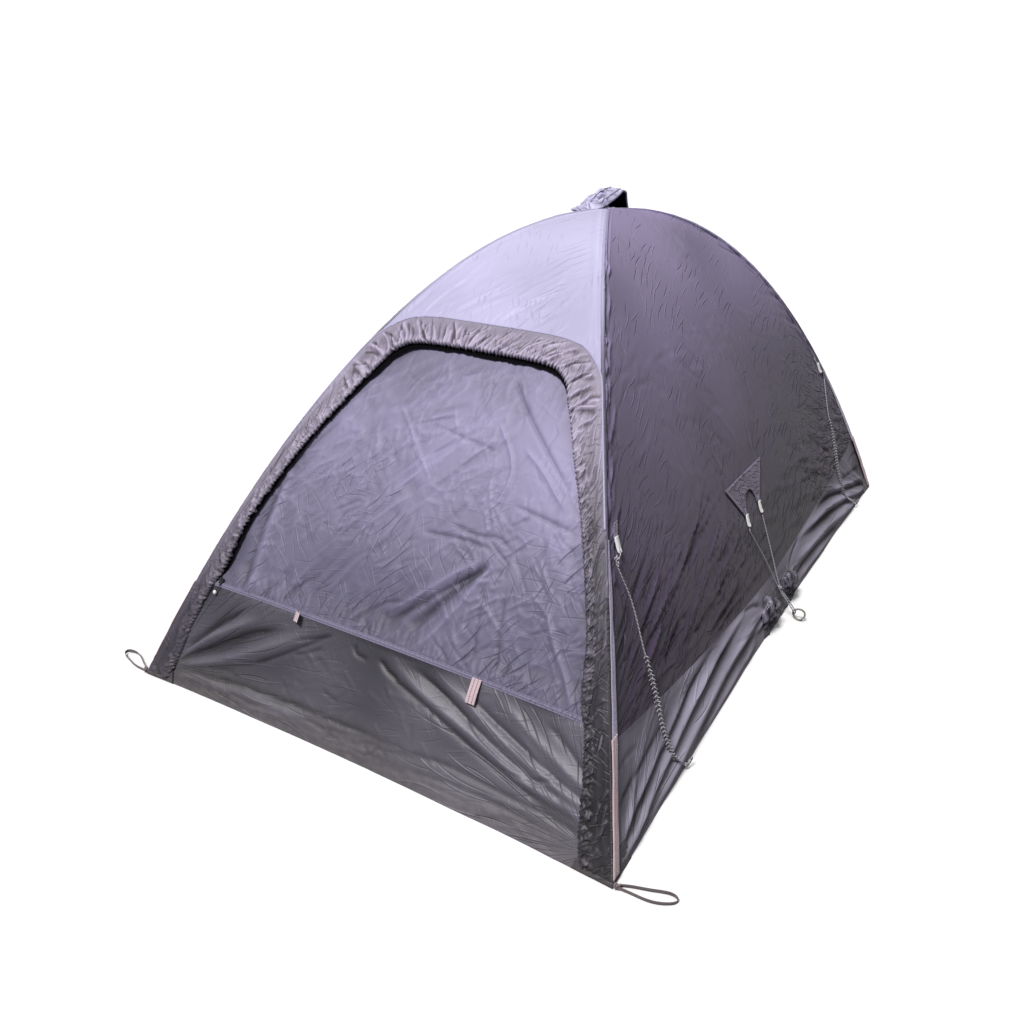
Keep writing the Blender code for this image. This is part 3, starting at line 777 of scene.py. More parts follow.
def fabric(g, colour_value, rough=0.5, creases=(), depth=0.001, sheen=0.15, tone=0.25, dust=0.0, fade=None,
           gain=90.0, pulled=None, crease_shade=0.003, calm=None, specular=0.5):
    """Thin nylon: ripstop weave, fine creases, painted shade in the folds and painted light on their crests,
    and dust near the ground. A crease layer is (angle, length, spacing, width, strength); pulled is the low
    corner (across, up, reach) that the layers at angle 0 spread from. fade is (low height,
    high height, tint at each): painted shade low down and painted light high up. tone is how
    strongly the folds are painted, crease_shade how much the creases add to it, and calm the two heights
    between which the creases thin out."""
    place, cloth_place = g.place(), g.cloth_place()
    fold = g.node("Attribute", attribute_name="fold")["Fac"]
    woven = g.group("Woven Threads", Place=cloth_place, Threads=5200.0, Rip_Spacing=620.0)[0]
    below = None
    for number, (angle, length, spacing, width, strength) in enumerate(creases):
        where = cloth_place
        if pulled and angle == 0.0:
            where, share = g.group("Pulled From Corner", Place=cloth_place, Across=pulled[0], Up=pulled[1],
                                   Reach=pulled[2])
        else:
            moved = g.vector("ADD", cloth_place, (3.7 * number, 0.0, 0.0))
            share = g.ramp(g.noise(moved, 6.0, 1.0, noise_dimensions="2D"), 0.42, 0.62, 0.05, 1.0)
        made = g.group("Scattered Creases", Place=where, Angle=angle, Length=length, Spacing=spacing, Width=width)
        height = g.mul(g.mul(made[0], share), strength)
        below = g.math("ADD", below, height) if below else height
    if calm:
        below = g.mul(below, g.ramp(g.apart(place)[2], *calm, 1.0, 0.2))
    if below:
        # The creases add painted shade and light to the fold attribute
        fold = g.mul_add(below, crease_shade, fold)
        below = g.bump(below, 1.0, depth)
    toned = g.group("Painted Fold Shade And Drift", Colour=four(colour_value), Fold=fold, Place=place, Depth=tone, Gain=gain)[0]
    # Painted shade lower down and painted light higher up
    if fade:
        share = g.ramp(g.apart(place)[2], *fade[:2])
        toned = g.mix(1.0, toned, g.mix(share, four(fade[2]), four(fade[3])), "MULTIPLY")
    dusty, mask = g.group("Ground Dust", Colour=toned, Place=place, Amount=dust)
    return {"Base Color": dusty, "Roughness": g.mul_add(mask, 0.35, rough), "Sheen Weight": sheen,
            "Specular IOR Level": specular, "Normal": g.bump(woven, 0.35, 0.00012, below)}


def webbing(g, colour_value, stitches=(), thread=(0.06, 0.05, 0.06), dust=0.25):
    """Woven webbing: ribs across it, and rows of stitches at given offsets."""
    place, along = g.place(), g.cloth_place()
    height = g.group("Woven Threads", Place=along, Threads=2600.0, Rip_Spacing=2600.0)[0]
    # Painted shade between the woven ribs and painted light on them
    toned = g.group("Painted Fold Shade And Drift", Colour=four(colour_value), Fold=g.mul(height, 0.004), Place=place, Depth=0.35,
                    Drift=0.15)[0]
    for offset in stitches:
        row = g.group("Stitch Row", Place=along, Offset=offset)[0]
        toned = g.mix(row, toned, four(thread))
        height = g.math("MAXIMUM", height, g.mul(row, 1.6))
    dusty = g.group("Ground Dust", Colour=toned, Place=place, Amount=dust, Top=0.06)[0]
    return {"Base Color": dusty, "Roughness": 0.8, "Sheen Weight": 0.3, "Normal": g.bump(height, 0.8, 0.0004)}


def cord(g, colour_value, pitch=0.0085):
    """Twisted cord: slanting strands with painted light on them and painted shade in the hollow between them."""
    apart = g.apart(g.cloth_place())
    slant = g.mul(g.mul_add(apart[0], 2.0, apart[1]), math.pi / pitch)
    strand = g.math("ABSOLUTE", g.math("SINE", slant))
    toned = g.group("Painted Fold Shade And Drift", Colour=four(colour_value), Fold=g.mul_add(strand, 0.016, -0.009),
                    Place=g.place(), Depth=1.0, Drift=0.2)[0]
    return {"Base Color": toned, "Roughness": 0.75, "Sheen Weight": 0.3, "Normal": g.bump(strand, 0.7, 0.0004)}


def plastic(g, colour_value):
    """Moulded nylon with a fine spark texture and a little handling wear."""
    place = g.place()
    smudge, worn = g.noise(place, 60.0, 3.0), tuple(value * 0.88 for value in colour_value)
    return {"Base Color": g.mix(smudge, four(worn), four(colour_value)), "Coat Weight": 0.15,
            "Roughness": g.mul_add(smudge, 0.25, 0.25), "Normal": g.bump(g.noise(place, 900.0, 2.0), 0.3, 0.0002)}


def alloy(g, colour_value):
    """Anodised alloy tube with fine darker lines."""
    lines = g.noise(g.place(), 420.0, 4.0)
    return {"Base Color": g.mix(lines, (0.44, 0.43, 0.42, 1.0), four(colour_value)), "Metallic": 1.0,
            "Roughness": g.mul_add(lines, 0.3, 0.2), "Normal": g.bump(lines, 0.2, 0.0001)}


# Each finish's kind, its colour (the names of colour settings, or the colour itself), the share taken of
# it, and what else its kind is told
FINISHES = {
    "Canopy Nylon": (fabric, "canopy", 1, dict(
        creases=((0.9, 0.09, 0.02, 0.0034, 0.8), (1.9, 0.05, 0.016, 0.003, 0.5)), depth=0.0016, sheen=0.2,
        tone=0.24, crease_shade=0.004, fade=(0.8, 0.97, (0.86, 0.86, 0.88), (1.04, 1.04, 1.03)))),
    "Hood Nylon": (fabric, "canopy", 1.05, dict(
        creases=((0.9, 0.035, 0.011, 0.0026, 1.0), (2.2, 0.028, 0.01, 0.0024, 0.9), (0.2, 0.05, 0.014, 0.0028, 0.8)),
        rough=0.45, depth=0.0024, sheen=0.2, tone=0.5, gain=100.0, crease_shade=0.004)),
    "Wall Nylon": (fabric, "wall", 1, dict(
        creases=((0.0, 0.24, 0.014, 0.0026, 1.4), (0.0, 0.12, 0.009, 0.0016, 1.0),
                 (0.45, 0.09, 0.022, 0.0028, 0.5), (1.3, 0.07, 0.02, 0.0028, 0.35)),
        rough=0.44, depth=0.0032, tone=0.62, specular=0.26, dust=0.2, pulled=(1.4, 0.05, 1.2), crease_shade=0.005,
        fade=(0.12, 1.02, (0.16, 0.112, 0.158), (1.04, 1.06, 1.12)))),
    "Door Nylon": (fabric, "door", 1, dict(
        creases=((0.9, 0.13, 0.021, 0.0028, 0.65), (2.25, 0.08, 0.022, 0.0026, 0.35),
                 (1.4, 0.08, 0.018, 0.0024, 0.45), (0.15, 0.08, 0.022, 0.0024, 0.25)),
        rough=0.55, depth=0.0026, tone=0.62, calm=(0.44, 0.62),
        fade=(0.2, 0.7, (0.64, 0.64, 0.65), (1.14, 1.14, 1.17)))),
    "Tub Coated Nylon": (fabric, "tub", 1, dict(
        creases=((0.0, 0.18, 0.03, 0.0046, 0.5), (0.3, 0.07, 0.022, 0.003, 0.2), (2.3, 0.05, 0.022, 0.003, 0.15)),
        rough=0.46, depth=0.0026, sheen=0.05, tone=0.66, dust=0.4, pulled=(0.55, 0.04, 0.6), crease_shade=0.004)),
    # Three times the tub's colour: a painted reflection of the sky on the same coated fabric
    "Tub Side Painted Sheen Nylon": (fabric, "tub", 3.0, dict(
        creases=((0.0, 0.2, 0.014, 0.0036, 0.8),), rough=0.46, depth=0.002, sheen=0.05, tone=0.95, dust=0.4,
        gain=60.0, pulled=(1.05, 0.0, 0.9))),
    "Gathered Nylon": (fabric, "tub", 0.8, dict(creases=((1.2, 0.03, 0.01, 0.0028, 1.0),), tone=0.7)),
    "Bunched Nylon": (fabric, "cuff", 0.42, dict(
        creases=((1.2, 0.04, 0.01, 0.003, 1.0), (0.2, 0.03, 0.01, 0.0028, 0.8)), rough=0.38, depth=0.0026,
        tone=0.95, gain=120.0, fade=(0.0, 0.07, (0.5, 0.5, 0.5), (1.0, 1.0, 1.05)))),
    "Cuff Nylon": (fabric, "cuff", 1, dict(
        creases=((1.1, 0.034, 0.01, 0.0018, 0.7), (2.1, 0.03, 0.01, 0.0018, 0.4)), depth=0.002, tone=0.76,
        dust=0.1, fade=(0.04, 0.66, (0.17, 0.165, 0.18), (1.0, 1.0, 1.03)), gain=110.0, crease_shade=0.0024)),
    "Patch Nylon": (fabric, "patch", 1, dict(
        creases=((0.4, 0.03, 0.01, 0.0028, 1.0), (1.8, 0.03, 0.01, 0.0028, 0.8)), rough=0.6, depth=0.002,
        tone=0.6, dust=0.2)),
    "Side Patch Nylon": (fabric, "patch wall", 0.5, dict(
        creases=((0.5, 0.05, 0.014, 0.0034, 1.0), (-0.4, 0.04, 0.014, 0.003, 0.7)), depth=0.0022, tone=0.7)),
    "Seam Fabric": (fabric, "door", 0.9, dict(creases=((1.57, 0.012, 0.006, 0.002, 1.0),), rough=0.6)),
    "Piping": (fabric, "canopy", 0.42, dict(rough=0.6)),
    # Painted shade on the ridge's roll low down, where its shadow falls beside the cuff
    "Ridge Fabric": (fabric, "canopy", 0.8, dict(
        creases=((1.2, 0.03, 0.012, 0.003, 1.0),), fade=(0.74, 0.88, (0.32, 0.3, 0.31), (1.0, 1.0, 1.0)))),
    # Pure black that paints shade: in the vent's opening, inside the hood and in the gap under the cuff
    "Painted Shadow Black": (fabric, (0.004, 0.004, 0.005), 1, dict(rough=0.9, sheen=0.0, specular=0.05)),
    "Seam Tape": (webbing, "strap", 1, dict(dust=0.1)),
    "Tab Webbing": (webbing, "strap", 0.55, {}),
    "Corner Webbing": (webbing, "webbing", 1, dict(stitches=(-0.004, 0.004))),
    "Peg Webbing": (webbing, "webbing", 0.28, dict(dust=0.4)),
    "Peg Overlap": (webbing, "webbing", 0.3, dict(stitches=(-0.002, 0.002), thread=(0.01, 0.01, 0.01))),
    "Guy Cord": (cord, "cord", 1, {}),
    "Shaded Cord": (cord, "cord", 0.22, {}),
    "Black Cord": (cord, (0.015, 0.015, 0.018), 1, {}),
    "Loop Cord": (cord, (0.2, 0.19, 0.16), 1, dict(pitch=0.008)),
    "Lock Plastic": (plastic, "plastic", 1, {}),
    "Black Plastic": (plastic, (0.02, 0.02, 0.022), 1, {}),
    "Pole Alloy": (alloy, (0.66, 0.65, 0.64), 1, {}),
}


def finish(name):
    """The tent's material of that name, made from the colour settings the first time."""
    material = bpy.data.materials.get(name)
    if material is None:
        kind, colours, share, told = FINISHES[name]
        if isinstance(colours, str):
            chosen = (getattr(bpy.context.scene.tent_colours, one) for one in colours.split())
            colours = tuple(share * sum(values) for values in zip(*chosen))
        material = bpy.data.materials.new(name)
        material.use_nodes = True
        graph = Graph(material.node_tree)
        shader = material.node_tree.nodes["Principled BSDF"]
        for label, value in kind(graph, colours, **told).items():
            graph.feed(shader.inputs[label], value)
    return material


# ---- folds of each piece of fabric

def millimetres(rows):
    """Folds out of rows in millimetres: places across and up the cloth from the middle of its foot, one
    after the other, height and width."""
    return [([(x / 1000, y / 1000) for x, y in zip(places[::2], places[1::2])], height / 1000, width / 1000)
            for places, height, width in rows]


TUB_END_FOLDS = millimetres([
    ((-505, 85, -440, 155, -355, 228), -8.5, 7.5),
    ((-520, 55, -420, 118, -330, 176, -245, 208), -10, 8.5),
    ((-515, 68, -430, 140, -325, 212), 9.5, 13),
    ((-530, 40, -400, 92, -280, 158, -175, 222), 9.5, 15),
    ((-305, 112, -210, 172, -125, 232), -6, 4.5),
    ((-205, 198, -160, 215, -115, 235), -5, 3.5),
    ((-210, 163, -170, 180, -130, 203), -4.5, 3.5),
    ((-535, 30, -400, 50, -200, 62, 0, 65, 130, 69), -6, 6.5),
    ((-530, 22, -400, 34, -250, 40, -100, 38), 6, 11),
    ((-60, 233, -50, 215, -18, 211), -4.5, 4),
    ((-110, 119, -90, 112, -62, 106), -3.5, 3),
    ((530, 76, 400, 90, 270, 125, 150, 166, 50, 196, 0, 224), -8.5, 8),
    ((530, 92, 380, 112, 250, 152, 120, 192, 20, 235), 10, 13),
    ((520, 98, 400, 120, 280, 158, 180, 202, 85, 232), -9, 8),
    ((530, 108, 440, 130, 340, 158, 240, 202, 140, 236), 10, 13),
    ((530, 116, 450, 136, 360, 168, 290, 194, 215, 228), -9, 8),
    ((525, 135, 460, 160, 380, 194, 300, 234), 9, 12),
    ((515, 155, 460, 195, 400, 228), -6, 7.5),
    ((300, 127, 350, 112, 400, 116, 465, 137), -5, 4),
    ((520, 60, 350, 70, 200, 74, 100, 60), -5, 6),
    ((500, 40, 300, 46, 100, 30), -4, 5.5),
    ((20, 46, 45, 30, 60, 50, 92, 36), -3.5, 3),
    ((10, 222, 35, 203, 70, 196), -5, 4.5),
])
TUB_SIDE_FOLDS = millimetres([
    ((-1030, 30, -900, 62, -820, 84, -700, 107, -600, 128, -460, 138), -13, 9),
    ((-1030, 3, -920, 20, -825, 42, -680, 67, -520, 87, -270, 116), -13.5, 9),
    ((-670, 7, -500, 28, -350, 42, -250, 42, -130, 33), -11, 8.5),
    ((-1030, 16, -900, 40, -750, 74, -550, 108, -250, 128), 12, 15),
    ((-920, 8, -700, 35, -500, 58, -300, 72, -150, 82), 12, 17),
    ((-600, 8, -450, 14, -300, 20, -170, 18), 7, 11),
    ((-1010, 60, -880, 88, -780, 108, -640, 138), 9, 11),
    ((-1010, 100, -900, 118, -820, 126, -740, 140), -6, 6),
    ((-1000, 158, -930, 164, -880, 152), -3.5, 4.5),
    ((-250, 127, -180, 110, -130, 85), -7, 6),
])
DOOR_FOLDS = millimetres([
    ((-372, 250, -374, 400, -366, 560), 6, 10),
    ((-395, 250, -395, 400, -380, 540), -5, 8),
    ((0, 300, 60, 355, 130, 420, 190, 470), -8, 6.5),
    ((-15, 318, 50, 370, 120, 438, 170, 476), 5, 6),
    ((55, 300, 110, 375, 160, 440, 200, 490), -10, 10),
    ((85, 270, 135, 350, 180, 440, 205, 500), 7, 8),
    ((-155, 765, -100, 710, -50, 655, 0, 600), 3, 3),
    ((-100, 712, -65, 660, -30, 640), 2.5, 3),
    ((5, 757, -50, 738, -105, 715), -4, 3.2),
    ((-30, 726, 50, 712, 135, 700), -3.5, 3.2),
    ((100, 766, 150, 710, 172, 660, 165, 610, 135, 550), 4, 3.2),
    ((95, 870, 150, 805, 220, 735, 310, 650), -5, 4.5),
    ((180, 722, 240, 680, 310, 615), 4.5, 4.5),
    ((200, 602, 280, 590, 350, 578), -5, 4.5),
    ((80, 530, 150, 524, 190, 531, 230, 510), -5.5, 4.5),
    ((20, 500, 100, 507, 190, 504), -5.5, 4.5),
    ((190, 430, 205, 330, 215, 270), -4.5, 4),
    ((240, 430, 255, 340, 275, 265), -5, 4),
    ((330, 440, 360, 380, 420, 300, 440, 262), 5.5, 5),
    ((-275, 262, -250, 305, -200, 352), -4.5, 5),
    ((-100, 262, -20, 335, 45, 352), -3.5, 3.5),
])
CANOPY_FOLDS = millimetres([
    ((0, 990, 40, 1042, 95, 1105), 4.5, 3.6),
    ((12, 990, 52, 1040, 85, 1075), -3.5, 3.6),
    ((-125, 1000, -80, 1046, -30, 1100), 3, 4.5),
    ((-105, 1000, -60, 1040, 0, 1078), -3, 4),
    ((-80, 1000, -40, 1032, -10, 1060), 2.6, 3.6),
    ((-195, 992, -178, 1030, -162, 1065), 2.6, 4),
    ((100, 990, 115, 1040, 135, 1110), -3, 4),
    ((90, 1010, 92, 1100, 96, 1180), 2.2, 5.5),
    ((262, 955, 212, 1080, 160, 1200), -3, 5.5),
    ((235, 965, 190, 1080, 145, 1195), 2.6, 6),
    ((-215, 1050, -195, 1110, -165, 1190), -2.2, 6),
])
FOLD_LIMIT = 0.011  # no fold of a long side stands further out or in than about this
# Half width round a side patch, its margin, middle height and half height
PATCH_REACH = (0.135, 0.015, 0.35, 0.06)


def fold_depth():
    return bpy.context.scene.tent_form.fold_depth


def patchy(x, y, size, seed, low=-0.25, high=0.35):
    """0 to 1 in soft-edged patches, so that wrinkles come in clusters."""
    return fade_in(slope_noise(x / size, y / size, seed) - low, high - low)


def tub_end_relief(seed):
    lines = TUB_END_FOLDS + fan((-0.55, 0.03), (4, 60), (0.12, 0.4), 8, 0.0034, 0.007, seed)
    lines += fan((0.55, 0.05), (125, 176), (0.12, 0.4), 6, 0.003, 0.008, seed + 1)
    lines += scattered((-0.5, 0.45), (0.005, 0.06), (-12, 16), (0.04, 0.16), 40, 0.0028, 0.004, seed + 2)
    lines += scattered((-0.25, 0.2), (0.08, 0.21), (-60, -10), (0.02, 0.07), 30, 0.0022, 0.0035, seed + 3)

    def relief(x, y, u, share):
        rise = climb("front", share_at(TUB_END_HEIGHT)) - y
        free = fade_in((1 - np.abs(u)) * 0.55, 0.02) * fade_in(rise, 0.012)
        lift = folds(x, y, lines) + 0.0035 * soft_noise(x * 8, y * 8, seed + 5)
        lift += 0.0012 * wrinkles(x, y, 0.022, seed + 8, 20, 2.0) * patchy(x, y, 0.11, seed + 9)
        return fold_depth() * lift * free * (0.35 + 0.65 * fade_in(y, 0.025))
    return relief


def tub_side_relief(side, seed):
    lines = TUB_SIDE_FOLDS + mirrored(TUB_SIDE_FOLDS)
    lines += fan((-1.05, 0.02), (4, 42), (0.12, 0.5), 12, 0.0032, 0.005, seed)
    lines += mirrored(fan((-1.05, 0.02), (4, 42), (0.12, 0.5), 14, 0.004, 0.005, seed + 1))
    lines += fan((-0.06, 0.06), (168, 205), (0.1, 0.36), 8, 0.0035, 0.005, seed + 2)
    lines += mirrored(fan((-0.06, 0.06), (168, 205), (0.1, 0.36), 8, 0.0035, 0.005, seed + 3))

    def relief(x, y, u, share):
        rise = climb(side, share_at(tub_seam(side, u))) - y
        free = fade_in((1 - np.abs(u)) * 1.09, 0.025) * fade_in(rise, 0.01)
        lift = folds(x, y, lines) + 0.0035 * soft_noise(x * 7, y * 10, seed + 6)
        lift += 0.0012 * wrinkles(x, y, 0.02, seed + 8, 12, 2.0) * patchy(x, y, 0.1, seed + 9)
        lift *= 0.25 + 0.75 * fade_in(np.abs(x) - 0.1, 0.05)
        return fold_depth() * lift * free * (0.3 + 0.7 * fade_in(y, 0.022))
    return relief


def distance_to(points, path):
    """How far each point is from the nearest of a path's places."""
    nearest = np.full(len(points), np.inf)
    for place in path:
        nearest = np.minimum(nearest, np.linalg.norm(points - place, axis=1))
    return nearest


def pull_angle(x, y):
    """Direction in which the corner at the low left pulls the cloth of a long side, in degrees."""
    return 0.9 * math.degrees(math.atan2(max(0.0, y - 0.05), x + 1.4))


def from_ridge(side, climbs, angles, lengths, count, height, width, seed):
    """Short creases that start at a side's left ridge."""
    draw = np.random.default_rng(seed)
    lines = []
    for _ in range(count):
        y = draw.uniform(*climbs)
        x = draw.uniform(0.008, 0.03) - float(half_girth(side, share_of_climb(side, y)))
        angle, length = math.radians(draw.uniform(*angles)), draw.uniform(*lengths)
        lines.append((crease(x, y, angle, length, 0.0, draw.uniform(-0.08, 0.08) * length),
                      height * draw.uniform(0.4, 1.0) * draw.choice((1.0, -1.0)), width * draw.uniform(0.7, 1.3)))
    return lines


def wall_relief(side, seed):
    lines = flowing((-0.94, -0.34), (0.15, 0.38), pull_angle, (0.1, 0.3), 80, 0.006, 0.0042, seed, 5)
    lines += flowing((-0.5, -0.05), (0.145, 0.3), pull_angle, (0.14, 0.34), 40, 0.0034, 0.0044, seed + 1, 4)
    lines += mirrored(
        flowing((-0.94, -0.5), (0.15, 0.34), pull_angle, (0.08, 0.3), 60, 0.0055, 0.0052, seed + 2, 7)
        + flowing((-0.55, -0.05), (0.145, 0.3), pull_angle, (0.12, 0.32), 36, 0.003, 0.005, seed + 3, 4))
    lines += from_ridge(side, (0.4, 1.02), (24, 62), (0.03, 0.11), 90, 0.005, 0.004, seed + 4)
    lines += mirrored(from_ridge(side, (0.4, 1.02), (24, 62), (0.03, 0.11), 60, 0.0042, 0.004, seed + 5))
    upright = from_ridge(side, (0.38, 0.95), (52, 72), (0.05, 0.16), 46, 0.0044, 0.003, seed + 14)
    lines += upright + mirrored(upright)
    lines += flowing((-0.72, -0.1), (0.4, 0.8), lambda x, y: -8 + 60 * (-x - 0.3), (0.04, 0.14), 90, 0.0022,
                     0.0044, seed + 6, 22)
    lines += scattered((-0.15, 0.6), (0.4, 0.85), (-40, 10), (0.04, 0.14), 50, 0.0014, 0.0044, seed + 7)
    shift = SIDE_SIGNS[side] * SIDE_PATCH_SHIFT
    cords = [guy_path(corner, 70) for corner in CORNERS if long_side(corner)[0] == side]
    lines += fan((shift - 0.1, 0.43), (100, 160), (0.03, 0.1), 8, 0.0032, 0.0038, seed + 8)
    lines += fan((shift + 0.1, 0.43), (20, 80), (0.03, 0.1), 8, 0.0032, 0.0038, seed + 9)

    def relief(x, y, u, share):
        away = (1 - np.abs(u)) * half_girth(side, share)
        rise = y - climb(side, share_at(tub_seam(side, u)))
        free = fade_in(away, 0.01) * fade_in(rise, 0.008)
        lift = folds(x, y, lines) + 0.0022 * soft_noise(x * 5, y * 5, seed + 12)
        lift += 0.0012 * wrinkles(x, y, 0.04, seed + 40, 20, 3.0) * patchy(x, y, 0.2, seed + 41)
        wander = 0.003 * soft_noise(y * 7, np.sign(u) * 3 + 0 * y, seed + 13)
        for place, height in ((0.013, 0.0022), (0.022, -0.002), (0.034, 0.0014)):
            lift += height * np.exp(-((away - place - wander) / 0.0036) ** 2) * fade_in(y - 0.45, 0.2)
        half_wide, past, middle, half_high = PATCH_REACH
        beyond = np.maximum(np.abs(x - shift) - half_wide, np.abs(ridge(share)[2] - middle) - half_high)
        lift *= 0.15 + 0.85 * fade_in(beyond + past, past)
        spots = side_point(side, u, share, 0.004)
        for path in cords:
            lift *= 0.12 + 0.88 * fade_in(distance_to(spots, path) - 0.005, 0.012)
        return fold_depth() * FOLD_LIMIT * np.tanh(lift / FOLD_LIMIT) * free
    return relief


def canopy_relief(side, seed):
    seam = climb("front", share_at(0.795))
    lines = CANOPY_FOLDS + flowing((-0.22, 0.12), (seam + 0.005, seam + 0.14), lambda x, y: 52, (0.03, 0.12), 46,
                                   0.002, 0.0036, seed, 12)
    lines += scattered((-0.2, 0.15), (seam, seam + 0.02), (50, 110), (0.015, 0.04), 40, 0.0016, 0.003, seed + 1)
    lines += scattered((-0.2, 0.15), (seam + 0.12, seam + 0.22), (30, 80), (0.02, 0.07), 30, 0.001, 0.0036, seed + 2)

    def relief(x, y, u, share):
        away = (1 - np.abs(u)) * half_girth(side, share)
        lift = folds(x, y, lines) + 0.003 * soft_noise(x * 7, y * 7, seed + 4)
        lift += 0.0008 * wrinkles(x, y, 0.03, seed + 6, 60, 3.0) * fade_in(seam + 0.25 - y, 0.1)
        for place, height in ((0.014, 0.0014), (0.028, -0.001)):
            lift += height * np.exp(-((away - place) / 0.0045) ** 2)
        return fold_depth() * lift * fade_in(away, 0.014) * (0.2 + 0.8 * fade_in(y - seam + 0.002, 0.012))
    return relief


def back_relief(seed):
    upper = canopy_relief("back", seed)
    lines = fan((-0.48, 0.22), (6, 78), (0.1, 0.42), 26, 0.0052, 0.005, seed + 5)
    lines += mirrored(fan((-0.48, 0.22), (6, 78), (0.1, 0.42), 26, 0.0052, 0.005, seed + 6))
    lines += scattered((-0.42, 0.36), (0.25, 0.9), (20, 160), (0.05, 0.18), 110, 0.0024, 0.004, seed + 7)
    lines += from_ridge("back", (0.3, 0.9), (-20, 30), (0.04, 0.12), 40, 0.0036, 0.0044, seed + 8)
    lines += mirrored(from_ridge("back", (0.3, 0.9), (-20, 30), (0.04, 0.12), 40, 0.0036, 0.0044, seed + 9))

    def relief(x, y, u, share):
        away = (1 - np.abs(u)) * half_girth("back", share)
        rise = y - climb("back", share_at(TUB_END_HEIGHT))
        lift = folds(x, y, lines) + 0.004 * soft_noise(x * 5, y * 5, seed + 12)
        lift += 0.0012 * wrinkles(x, y, 0.034, seed + 9, 60, 2.5) * patchy(x, y, 0.15, seed + 10)
        return (upper(x, y, u, share) + fold_depth() * lift * fade_in(away, 0.012)) * fade_in(rise, 0.01)
    return relief


def door_relief(seed):
    lines = DOOR_FOLDS + flowing((-0.42, 0.05), (0.25, 0.66), lambda x, y: 52 - 25 * (y - 0.4), (0.08, 0.26), 60,
                                 0.0026, 0.0048, seed, 7)
    lines += scattered((0.14, 0.4), (0.25, 0.56), (20, 75), (0.03, 0.11), 50, 0.0036, 0.003, seed + 1)
    lines += scattered((0.14, 0.42), (0.25, 0.56), (105, 160), (0.03, 0.11), 46, 0.0034, 0.003, seed + 6)
    lines += scattered((-0.44, 0.42), (0.245, 0.27), (60, 120), (0.02, 0.06), 80, 0.0026, 0.003, seed + 2)
    lines += scattered((-0.36, 0.34), (0.4, 0.84), (0, 180), (0.03, 0.12), 110, 0.0018, 0.0032, seed + 3)
    lines += scattered((-0.3, 0.1), (0.7, 0.86), (15, 45), (0.06, 0.2), 16, 0.0022, 0.006, seed + 4)

    def relief(x, y, u, share):
        height = ridge(share)[2]
        inside = door_half_width(height) - np.abs(x)
        seam = climb("front", share_at(TUB_END_HEIGHT))
        sunk = -0.01 - 0.002 * fade_in(height - 0.6, 0.13) - 0.002 * (1 - fade_in(inside, 0.05))
        sunk *= fade_in(y - seam, 0.07)
        lift = folds(x, y, lines) + 0.0024 * soft_noise(x * 6, y * 6, seed + 5)
        lift += 0.0034 * wrinkles(x, y, 0.034, seed + 12, 55, 1.8) * patchy(x, y, 0.14, seed + 13)
        lift += 0.0024 * crumple(x, y, 0.042, seed + 14) * (0.25 + 0.75 * patchy(x, y, 0.2, seed + 15))
        held = (0.15 + 0.85 * fade_in(y - seam, 0.01)) * (0.35 + 0.65 * fade_in(0.752 - height, 0.05))
        return sunk + fold_depth() * lift * held
    return relief


# ---- routes of the cords, as in the part's source

GUY_PLACES = {
    -1: ((-0.776, 0.377), (-0.781, 0.29), (-0.782, 0.205), (-0.785, 0.129), (-0.772, 0.066),
         (-0.742, 0.028), (-0.726, 0.013)),
    1: ((0.745, 0.353), (0.74, 0.282), (0.726, 0.164), (0.746, 0.083), (0.806, 0.042), (0.856, 0.014)),
}


def long_side(corner):
    """The long side at a corner and the sign of u there."""
    x_sign, y_sign = CORNERS[corner]
    return ("right" if x_sign > 0 else "left"), x_sign * y_sign


def guy_path(corner, count=320):
    """The middle of a slack guy cord, from its line lock down the wall to its foot."""
    side, u_sign = long_side(corner)
    first = float(share_at(LOCK_HEIGHTS[0])) - CORD_START
    places = [side_point(side, u_sign * (1 - FITTING_INSET / ridge(share)[1]), share, LOCK_MIDDLE)
              for share in (first, first - CORD_STRAIGHT)]
    for y, height in GUY_PLACES[CORNERS[corner][1]]:
        share = share_at(height)
        places.append(side_point(side, u_sign * abs(y) / ridge(share)[1], share, CORD_LAYER))
    return smooth_path(places, count)


def strands(angle, along, pitch=0.008, depth=0.12, count=3):
    """Ribs of a twisted cord."""
    return 1 + depth * np.cos(count * angle - along * 2 * np.pi / pitch)


def knot_mesh(centre, forward, size, radius):
    """A tight overhand knot, whose cord runs round a trefoil."""
    turn = np.linspace(0, 2 * np.pi, 91)
    shape = columns(np.sin(turn) + 2 * np.sin(2 * turn), np.cos(turn) - 2 * np.cos(2 * turn),
                      -np.sin(3 * turn) * 1.2) * size / 6
    aim = Vector(forward).to_track_quat("Z", "Y").to_matrix()
    return tube_mesh("knot", np.asarray(centre) + shape @ np.array(aim).T, radius, sides=8, closed=True)


def chain_strand(path, turned, width=0.0094, radius=0.0013):
    """One of the two strands that cross over one another where cord is looped through itself into a chain."""
    first, second = path_frames(path, (0.3, 0.2, 1.0))
    runs = runs_of(path)
    turn = runs * 2 * np.pi / CHAIN_PITCH + turned
    swell = 1 + 0.35 * soft_noise(runs * 45, 0 * runs, 87)
    offset = (first * (width / 2 * swell * np.sin(turn))[:, None]
              + second * (width / 4 * np.sin(2 * turn))[:, None])
    return tube_mesh("strand", path + offset, radius, sides=6)


